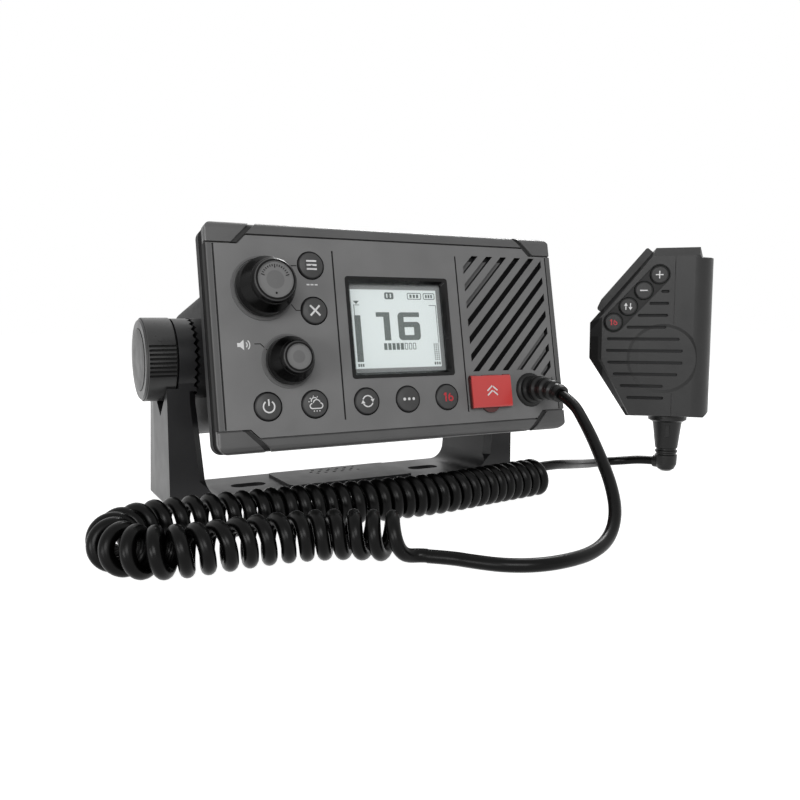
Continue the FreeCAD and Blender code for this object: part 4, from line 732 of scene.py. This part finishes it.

# %% [markdown]
# ## Knobs
#
# Both knobs are glossy black below, with a dark rim and a satin disc on top with a duller
# middle. A grey band at the foot of the skirt and a paler line in the rim are painted
# highlights, for the light that a round edge catches. Seen from the front, all these are rings
# and discs about the shaft, so circle masks laid over one another are enough. A depth mask keeps
# the tones of the top off the skirt.

# %% Knobs


def knob(name, x, z, disc_radius, rim_radius):
    """A glossy skirt, a dark rim and a grey disc about a shaft, with painted highlights at the
    foot and in the rim.
    """
    on_top, highlit_foot = deeper(-11.0, -12.0), deeper(-2.9, -2.5)
    rim_highlight = ring(x, z, rim_radius - 0.55, rim_radius - 0.2)
    layers = [
        # Painted highlight: the grey foot of the skirt.
        (both(ring(x, z, rim_radius + 2.3, 20), highlit_foot), "303030", 0.35),
        (disc(x, z, rim_radius + 0.1, 0.15), "0e0e0e", 0.28),
        # Painted highlight: the paler line in the rim.
        (both(rim_highlight, on_top), "4a4a4a", 0.3),
        (both(disc(x, z, disc_radius + 0.15, 0.1), on_top), "767676", 0.36),
        (both(disc(x, z, disc_radius * 0.52, 0.12), on_top), "6a6a6a", 0.4),
    ]
    return finish(name, "040404", 0.22, RADIO, layers, grain_depth=0.002, level=0.12,
                  rough_vary=0.02)


FINISHES["channel_knob"] = knob("channel_knob", *CHANNEL_KNOB, 6.6, 8.1)
FINISHES["volume_knob"] = knob("volume_knob", *VOLUME_KNOB, 4.6, 6.1)
print("knob finishes", [name for name in FINISHES if name.endswith("_knob")])

# %% [markdown]
# ## Cover, clamp knobs and handset
#
# The red cover is a glossy moulding. Its sides are painted a darker red, and darker still
# nearer the panel, as painted shade. The clamp knobs are rubber with deep grooves, painted
# black inside as painted shade. The handset has a satin skin. The pits round its four keys, its
# slots and its left side are painted near black, and the recessed bed along the keys darker:
# all painted shade. Its back is plain.

# %% Cover, clamps and handset
# The cover's sides are painted a darker red, and darker still nearer the panel: painted shade.
FINISHES["cover"] = finish(
    "cover_red", "c33c3a", 0.34, RADIO, vary=0.05, grain_depth=0.006, coat=0.2, level=0.5,
    layers=[(deeper(-2.9, -2.2), "5a1a18", 0.4), (deeper(-1.9, -1.5), "360d0c", 0.5)])
FINISHES["emergency_key"] = finish("key_red", "8e2624", 0.45, RADIO, vary=0.05, grain_depth=0.01)
grip_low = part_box("gimbal_grip_left")[0]
grip_end = abs(grip_low[0]) / MM
END_WALL, GROOVE_RADIUS = 0.7, 17.5
wall = either(strip(across, -grip_end + END_WALL, 0), strip(across, 0, grip_end - END_WALL))
# Painted shade: the grooves are black inside the groove radius, on the round wall but not on the
# end faces.
FINISHES["grip"] = finish(
    "grip_rubber", "2a2a2a", 0.32, grain_mm=0.4, grain_depth=0.01, level=0.45,
    layers=[(both(wheel(GROOVE_RADIUS), wall), "010101", 0.9)])
FINISHES["cap"] = finish("cap_satin", "181818", 0.34, level=0.22)
HANDSET_KEYS = {"up": (1.3, 28.7), "down": (-6.2, 20.8), "arrows": (-13.7, 12.6),
                "sixteen": (-20.9, 4.5)}
shaded_key_pits = either(*(disc(x, z, 5.5, 0.1) for x, z in HANDSET_KEYS.values()))


def beside_keys(d):
    """How far a place is to the lower right, square to the row of keys."""
    right = calc(d.tree, "MULTIPLY", d.x, 0.737)
    return calc(d.tree, "SUBTRACT", right, calc(d.tree, "MULTIPLY", d.z, 0.676))


shaded_key_bed = both(strip(beside_keys, -24.2, -12.8), strip(upright, -3, 35), deeper(0.2, 0.6))
shaded_slots = both(strip(across, -26, 16), strip(upright, -40, 21.5), deeper(1.1, 1.3))
# Painted shade: black in the pits round the keys and in the slots, near black on the left side,
# darker in the recessed bed along the keys.
FINISHES["handset"] = finish(
    "handset_satin", "2b2b2b", 0.36, HANDSET, grain_mm=0.35, grain_depth=0.012, level=0.28,
    layers=[(both(shaded_key_pits, deeper(0.1, 0.5)), SHADE_BLACK, 0.6),
            (both(deeper(0.7, 1.6), strip(across, -40, -8)), "080808", 0.95),
            (shaded_key_bed, "161616", 0.6), (shaded_slots, SHADE_BLACK, 0.6)])
# Painted shade on each handset key near the face it sits in.
FINISHES["handset_keys"] = finish(
    "handset_key_rubber", "161616", 0.46, HANDSET, grain_mm=0.3,
    layers=[(deeper(-0.2, 0.2), SHADE_BLACK, 0.6)])
FINISHES["handset_rear"] = finish("handset_rear_satin", "2b2b2b", 0.40, grain_mm=0.35, level=0.28)
FINISHES["boot"] = finish("boot_rubber", "090909", 0.38, grain_mm=0.5, level=0.3)
FINISHES["lever"] = finish("lever_rubber", "121212", 0.5, HANDSET, grain_mm=0.5, grain_depth=0.03)
print("clamp knob reaches", round(grip_end, 1), "mm")

# %% [markdown]
# ## Display
#
# A display is a pale sheet that gives a little light of its own. Its edge is a grey step, on
# which the light of the sheet falls off. The window before it is clear, so it is mostly
# transparent by its alpha, and what remains is the gloss of its front.

# %% Display sheet and window
SHEET_GLOW = 0.21


def display_sheet():
    """A pale, faintly lit sheet with a grey step round its picture."""
    material, tree, shader, place = new_material("display_sheet")
    drawing = Drawing(tree, place, RADIO)
    picture = both(strip(across, -21.1, 19.3, 0.12), strip(upright, -13.4, 19.4, 0.12))(drawing)
    cells = noise(tree, place, 0.35, 1)
    pale = blended(tree, spread(tree, cells, 0, 1), tone("d3dcdb"), tone("dae2e1"))
    tree.links.new(blended(tree, picture, tone("6f7474"), pale), shader.inputs["Base Color"])
    shader.inputs["Roughness"].default_value = 0.45
    shader.inputs["Emission Color"].default_value = tone("d8e2e2")
    tree.links.new(calc(tree, "MULTIPLY", picture, SHEET_GLOW), shader.inputs["Emission Strength"])
    bump(tree, shader, cells, 0.004)
    return material


def clear_window():
    """A thin clear window: mostly open, with the gloss of its surface."""
    material, tree, shader, place = new_material("window_clear")
    smear = spread(tree, noise(tree, place, 9, 3), 0.03, 0.08)
    shader.inputs["Base Color"].default_value = (1, 1, 1, 1)
    tree.links.new(smear, shader.inputs["Roughness"])
    shader.inputs["Alpha"].default_value = 0.06
    return material


FINISHES["display_sheet"] = display_sheet()
FINISHES["window_glass"] = clear_window()

# %% Dress the nodes


def wear(thing, name):
    """One finish over a whole piece."""
    thing.data.materials.clear()
    thing.data.materials.append(FINISHES[name])


OWN_LOOK = {
    "fascia": "panel", "top_trim": "trim", "bottom_trim": "trim", "display_frame": "frame",
    "display_module": "display_sheet", "speaker_cloth": "cloth", "channel_knob": "channel_knob",
    "volume_knob": "volume_knob", "emergency_cover": "cover", "emergency_key": "emergency_key",
    "gimbal_grip_left": "grip", "gimbal_grip_right": "grip", "gimbal_cap_left": "cap",
    "gimbal_cap_right": "cap", "handset_front": "handset", "handset_back": "handset_rear",
    "hanger_stud": "handset_rear", "cord_boot": "boot", "handset_boot": "boot",
    "talk_lever": "lever", "key_membrane": "keys",
}
slots = {part["node"]: part["material_slot"] for part in frame["record"]["subparts"]}
for piece in (lead, curl, tail):
    wear(piece, "cord_rubber")
for name, node in frame["nodes"].items():
    if name in OWN_LOOK:
        wear(node, OWN_LOOK[name])
    elif name.startswith("handset_key"):
        wear(node, "handset_keys")
    elif name.startswith("key_"):
        wear(node, "keys")
    else:
        wear(node, slots[name])
print("nodes finished", len(slots))

# %% [markdown]
# ## Signs
#
# The signs on keys and display are printed, so they are thin and have crisp edges. A texture
# would blur them from near by, so each sign is a thin solid. Its outline is drawn flat as a
# closed spline of a 2D curve, which fills it and leaves an outline inside another one open,
# and gets a thickness by extrusion. It is then a mesh, whose points are laid on the surface.

# %% Outlines


def outline_of(*places):
    """An outline through these places."""
    return [Vector(place) for place in places]


def bar(start, end, width, step=0.7):
    """The outline of a straight stroke, with enough points to follow a dome."""
    start, end = Vector(start), Vector(end)
    run = end - start
    side = Vector((-run.y, run.x)).normalized() * width / 2
    count = max(1, round(run.length / step))
    spine = [start + run * i / count for i in range(count + 1)]
    return [p + side for p in spine] + [p - side for p in reversed(spine)]


def circle(centre, radius, count=24):
    """A round outline."""
    turns = [math.tau * i / count for i in range(count)]
    return [Vector(centre) + Vector((math.cos(t), math.sin(t))) * radius for t in turns]


def bow(centre, radius, width, first, last, count=16):
    """The outline of a stroke that follows an arc between two angles in degrees."""
    turns = [math.radians(first + (last - first) * i / count) for i in range(count + 1)]
    rays = [Vector((math.cos(t), math.sin(t))) for t in turns]
    outer = [Vector(centre) + ray * (radius + width / 2) for ray in rays]
    inner = [Vector(centre) + ray * (radius - width / 2) for ray in reversed(rays)]
    return outer + inner


def panel(left, right, low, high, corner=0.0):
    """A rectangle with round corners."""
    if corner == 0:
        return outline_of((left, low), (right, low), (right, high), (left, high))
    places = []
    for x, z, first in ((right - corner, high - corner, 0), (left + corner, high - corner, 90),
                        (left + corner, low + corner, 180), (right - corner, low + corner, 270)):
        for i in range(5):
            t = math.radians(first + 22.5 * i)
            places.append(Vector((x + corner * math.cos(t), z + corner * math.sin(t))))
    return places


def moved(groups, x, z):
    """Groups of outlines at another place."""
    step = Vector((x, z))
    return [[[p + step for p in outline] for outline in group] for group in groups]


print("a stroke has", len(bar((0, 0), (5, 0), 0.6)), "points")

# %% From outlines to a thin solid
DOME_TOP, DOME_CURVE = -1.2, 0.0149
INK_HEIGHT = 0.04


def flat_solid(name, outlines):
    """The outlines filled and made one unit thick, as a closed mesh in drawing units."""
    data = bpy.data.curves.new(name, "CURVE")
    data.dimensions = "2D"
    data.fill_mode = "BOTH"
    data.extrude = 0.5
    for outline in outlines:
        spline = data.splines.new("POLY")
        spline.points.add(len(outline) - 1)
        for point, place in zip(spline.points, outline):
            point.co = (place.x, place.y, 0, 1)
        spline.use_cyclic_u = True
    piece = bpy.data.objects.new(name, data)
    scene.collection.objects.link(piece)
    only(piece)
    bpy.ops.object.convert(target="MESH")
    piece = bpy.context.object
    bpy.ops.object.mode_set(mode="EDIT")
    bpy.ops.mesh.select_all(action="SELECT")
    bpy.ops.mesh.remove_doubles(threshold=0.001)
    bpy.ops.mesh.normals_make_consistent(inside=False)
    bpy.ops.object.mode_set(mode="OBJECT")
    return piece


def sign(name, groups, body, stand, surface, look="display", slot="display", proud=0.05,
         sunk=0.12):
    """Groups of outlines laid on a surface, as one piece that rides on a body."""
    parts = [flat_solid(name, outlines) for outlines in groups]
    clear_selection()
    for part in parts:
        part.select_set(True)
    bpy.context.view_layer.objects.active = parts[0]
    if len(parts) > 1:
        bpy.ops.object.join()
    piece = bpy.context.object
    piece.name = piece.data.name = name
    for vertex in piece.data.vertices:
        x, z, layer = vertex.co
        depth = surface(x, z) + (-proud if layer > 0 else sunk)
        vertex.co = stand @ (Vector((x, depth, z)) * MM)
    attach(piece, body)
    wear(piece, look)
    signs.append(piece)


def level_at(depth):
    """A flat surface at one depth."""
    return lambda x, z: depth


def dome_about(x0, z0):
    """The rounded front of a key, which falls back with the square of the distance."""
    return lambda x, z: DOME_TOP + DOME_CURVE * ((x - x0) ** 2 + (z - z0) ** 2)


signs = []
DARK_INK = {"look": "ink_dark", "slot": "part_black"}
RED_INK = {"look": "ink_red", "slot": "cover_red"}
FINISHES["ink_dark"] = finish("ink_dark", "121212", 0.5, vary=0.03, level=0.2)
FINISHES["ink_red"] = finish("ink_red", "b8343c", 0.5, vary=0.05)
FINISHES["ink_display"] = finish("ink_display", "56625f", 0.5, vary=0.03, level=0.1)
print("inks ready")

# %% [markdown]
# ## Signs on the keys
#
# Each key has a sign in pale ink: three bars for the menu, a cross to leave it, a circle with
# a stroke for power, a cloud for the weather, arrows that go round for the search, and dots.
# The emergency channel, 16, is in red. Every key's dome is followed point by point.

# %% Strokes of each key's sign
THREE_BARS = [[bar((-2.1, z), (2.1, z), 0.7)] for z in (-1.6, 0, 1.6)]
CROSS = [[bar((-2, -2), (2, 2), 0.75)], [bar((-2, 2), (-0.28, 0.28), 0.75)],
         [bar((0.28, -0.28), (2, -2), 0.75)]]
POWER = [[bow((0, -0.1), 2.2, 0.55, 125, 415, 30)], [bar((0, 0.2), (0, 2.7), 0.55)]]
CLOUD = [
    [bow((-1.45, -0.75), 1.0, 0.42, 95, 270)], [bow((0.35, 0.15), 1.5, 0.42, 22, 165)],
    [bow((1.75, -0.7), 1.05, 0.42, -90, 85)], [bar((-1.45, -1.75), (1.75, -1.75), 0.42)],
    [bow((-0.5, 1.15), 1.35, 0.38, 45, 190)],
    [bar((-2.35, 2.4), (-2.0, 2.1), 0.35)], [bar((-0.9, 3.2), (-0.8, 2.85), 0.35)],
    [bar((0.9, 2.9), (0.65, 2.55), 0.35)], [bar((-3.0, 1.0), (-2.6, 0.95), 0.35)],
    [circle((-0.9, -2.75), 0.25, 10)], [circle((0.25, -2.75), 0.25, 10)],
    [circle((1.4, -2.75), 0.25, 10)],
]
ROUND = [
    [bow((0, 0), 2.2, 0.5, 25, 160)], [bow((0, 0), 2.2, 0.5, 205, 340)],
    [outline_of((1.25, 0.75), (2.95, 0.85), (2.2, -0.55))],
    [outline_of((-1.25, -0.75), (-2.95, -0.85), (-2.2, 0.55))],
]
DOTS = [[circle((x, 0), 0.62, 16)] for x in (-2.1, 0, 2.1)]
ONE = [outline_of((-2.2, 1.1), (-1.5, 1.9), (-0.8, 1.9), (-0.8, -1.9), (-1.5, -1.9),
                  (-1.5, 1.0), (-1.9, 0.6))]
SIX = [[bow((1.25, -0.65), 0.95, 0.6, 0, 360, 24)], [bow((2.3, -0.3), 2.05, 0.6, 125, 187, 8)]]
SIXTEEN = [ONE] + SIX
print("strokes of the cloud", len(CLOUD))

# %% Lay the signs on the keys
ON_KEYS = {
    "key_menu": (-39, 27.6, THREE_BARS), "key_exit": (-39, 9.6, CROSS),
    "key_power": (-60.7, -27, POWER), "key_weather": (-41.8, -27, CLOUD),
    "key_scan": (-19.5, -27, ROUND), "key_dots": (-0.7, -27, DOTS),
    "key_sixteen": (18.1, -27, SIXTEEN),
}


def key_sign(key, x, z, strokes, stand, surface, **more):
    """A key's sign on its cap, in red for the emergency channel."""
    ink = RED_INK if key.endswith("sixteen") else {}
    sign("sign_" + key, moved(strokes, x, z), key + "_cap", stand, surface, **ink, **more)


for key, (x, z, strokes) in ON_KEYS.items():
    key_sign(key, x, z, strokes, RADIO, dome_about(x, z))
print("signs on the radio's keys", len(signs))

# %% [markdown]
# ## Signs on the panel
#
# A short line leads from each knob to its key or sign, so that the hand finds what belongs
# together. The lines are dark and lie on the panel; the speaker sign and the dashes are pale.

# %% Lines, dashes and speaker sign
panel_front = level_at(0.0)
leaders = [
    [bar((-47.3, 27.3), (-44.9, 27.4), 0.35)], [bar((-48.7, 12.6), (-46.5, 9.8), 0.35)],
    [bar((-46.6, 9.75), (-44.6, 9.75), 0.35)], [bar((-64.2, -3.1), (-61.8, -3.1), 0.35)],
    [bar((-61.9, -3.05), (-59.4, -5.5), 0.35)],
]
sign("leader_lines", leaders, "radio", RADIO, panel_front, proud=INK_HEIGHT, **DARK_INK)
dashes = [[bar((x - 0.62, 20.0), (x + 0.62, 20.0), 0.55)] for x in (-40.7, -39.0, -37.3)]
sign("menu_dashes", dashes, "radio", RADIO, panel_front, proud=INK_HEIGHT)
horn = outline_of((-2.6, -0.75), (-1.5, -0.75), (-0.1, -2.0), (-0.1, 2.0), (-1.5, 0.75),
                  (-2.6, 0.75))
speaker = [[horn], [bow((0, 0), 1.2, 0.4, -48, 48)], [bow((0, 0), 2.2, 0.4, -48, 48)]]
sign("volume_sign", moved(speaker, -68.2, -3.4), "radio", RADIO, panel_front,
     proud=INK_HEIGHT)
print("signs so far", len(signs))

# %% [markdown]
# ## Marks on the knobs and the cover
#
# The channel knob has a scale of fine ticks round its upper half and a dot below. The red
# cover carries a double arrow that points up, the way it opens.

# %% Knob marks and cover arrow
ticks = []
for i in range(15):
    t = math.radians(20 + 10 * i)
    ray = Vector((math.cos(t), math.sin(t)))
    inner, outer = (4.3, 5.7) if i % 7 == 0 else (4.9, 5.7)
    ticks.append([bar(ray * inner, ray * outer, 0.28)])
ticks.append([circle((0, -5.0), 0.42, 12)])
sign("channel_marks", moved(ticks, *CHANNEL_KNOB), "channel_dial", RADIO, level_at(-15.1),
     proud=0.14, sunk=0.0, **DARK_INK)
arrow = [[bar((-2.6, -0.9), (0.05, 1.25), 0.6)], [bar((0.42, 0.95), (2.6, -0.9), 0.6)],
         [bar((-2.6, -2.9), (0.05, -0.75), 0.6)], [bar((0.42, -1.05), (2.6, -2.9), 0.6)]]
sign("cover_arrow", moved(arrow, 39.4, -24.6), "cover", RADIO, level_at(-3.2),
     proud=INK_HEIGHT)
print("signs so far", len(signs))

# %% [markdown]
# ## What the display shows
#
# The display names the channel in large figures, with a row of bars below them. A bar with a
# pointer stands on the left, a thin scale on the right, and small boxes in a row at the top, as
# on most sets of this kind. The figures lie just before the sheet, behind the window.

# %% Display figures and scales


def box_line(left, right, low, high, width=0.3, corner=0.6):
    """A thin frame: a rounded box with a smaller one left open in it."""
    return [panel(left, right, low, high, corner),
            panel(left + width, right - width, low + width, high - width, corner - width * 0.6)]


figure_one = outline_of((-10.3, 8.0), (-10.3, 9.9), (-4.0, 9.9), (-4.0, -1.9), (-6.9, -1.9),
                        (-6.9, 8.0))
six_outer = outline_of(
    (10.2, 7.9), (10.2, 9.9), (1.4, 9.9), (0.45, 9.5), (-0.2, 8.5), (-0.2, -0.5), (0.2, -1.4),
    (1.2, -1.9), (8.9, -1.9), (9.8, -1.5), (10.3, -0.4), (10.3, 4.4), (9.8, 5.4), (8.9, 5.8),
    (2.6, 5.8), (2.6, 7.9))
shown = [
    [figure_one], [six_outer, panel(2.7, 7.2, 0.2, 3.6, 0.3)],
    [panel(-5.6, -1.3, 15.4, 18.3, 0.7), panel(-4.7, -4.1, 16.0, 17.7),
     panel(-3.0, -2.4, 16.0, 17.7)],
    box_line(5.2, 12.0, 15.4, 18.2), box_line(12.95, 18.6, 15.4, 18.2),
    [outline_of((-20.2, 14.6), (-17.5, 14.6), (-18.85, 13.2))],
    [bar((-20.2, 12.9), (-17.5, 12.9), 0.25)], [bar((-19.9, 12.9), (-19.9, 8.7), 0.3)],
    [panel(-20.2, -17.4, -10.6, 8.6)], [bar((15.4, 12.9), (18.9, 12.9), 0.25)],
    [bar((18.75, 12.9), (18.75, -3.2), 0.25)],
]
for i in range(3):
    shown.append([panel(6.4 + 1.6 * i, 7.4 + 1.6 * i, 16.1, 17.5)])
    shown.append([panel(14.0 + 1.3 * i, 14.8 + 1.3 * i, 16.1, 17.5)])
    shown.append([panel(-20.1 + 1.0 * i, -19.4 + 1.0 * i, -12.6, -11.4)])
    shown.append([panel(15.9 + 1.1 * i, 16.6 + 1.1 * i, -12.6, -11.4)])
for row in range(9):
    for column in range(3):
        left = 16.3 + 0.95 * column - 0.02 * row
        shown.append([panel(left, left + 0.55, -10.6 + 0.82 * row, -10.1 + 0.82 * row)])
for i in range(8):
    left = -7.6 + 1.95 * i
    if i < 5:
        shown.append([panel(left, left + 1.45, -5.9, -3.1)])
    else:
        shown.append(box_line(left, left + 1.45, -5.9, -3.1, 0.28, 0.3))
sign("display_figures", shown, "radio", RADIO, level_at(3.8), look="ink_display",
     proud=0.06, sunk=0.0)
print("shapes on the display", len(shown), "faces", len(signs[-1].data.polygons))

# %% [markdown]
# ## Signs on the handset's keys
#
# The handset repeats the keys that are needed with one hand: louder, quieter, a pair of
# arrows for the channel, and the red 16. Their tops are flat, so the signs are flat too.

# %% Handset signs
MINUS = [[bar((-1.9, 0), (1.9, 0), 0.55)]]
PLUS = MINUS + [[bar((0, 0.275), (0, 1.9), 0.55)], [bar((0, -1.9), (0, -0.275), 0.55)]]
ARROWS = [[outline_of((-2.1, 0.35), (-0.2, 0.35), (-1.15, 1.9))],
          [outline_of((0.2, -0.35), (2.1, -0.35), (1.15, -1.9))],
          [bar((-1.15, -1.7), (-1.15, 0.35), 0.45)], [bar((1.15, -0.35), (1.15, 1.7), 0.45)]]
small_sixteen = [[[p * 0.82 for p in outline] for outline in group] for group in SIXTEEN]
ON_HANDSET = {"up": PLUS, "down": MINUS, "arrows": ARROWS, "sixteen": small_sixteen}
for key, strokes in ON_HANDSET.items():
    key_sign("handset_key_" + key, *HANDSET_KEYS[key], strokes, HANDSET, level_at(-0.5),
             proud=INK_HEIGHT)
print("signs in all", len(signs))
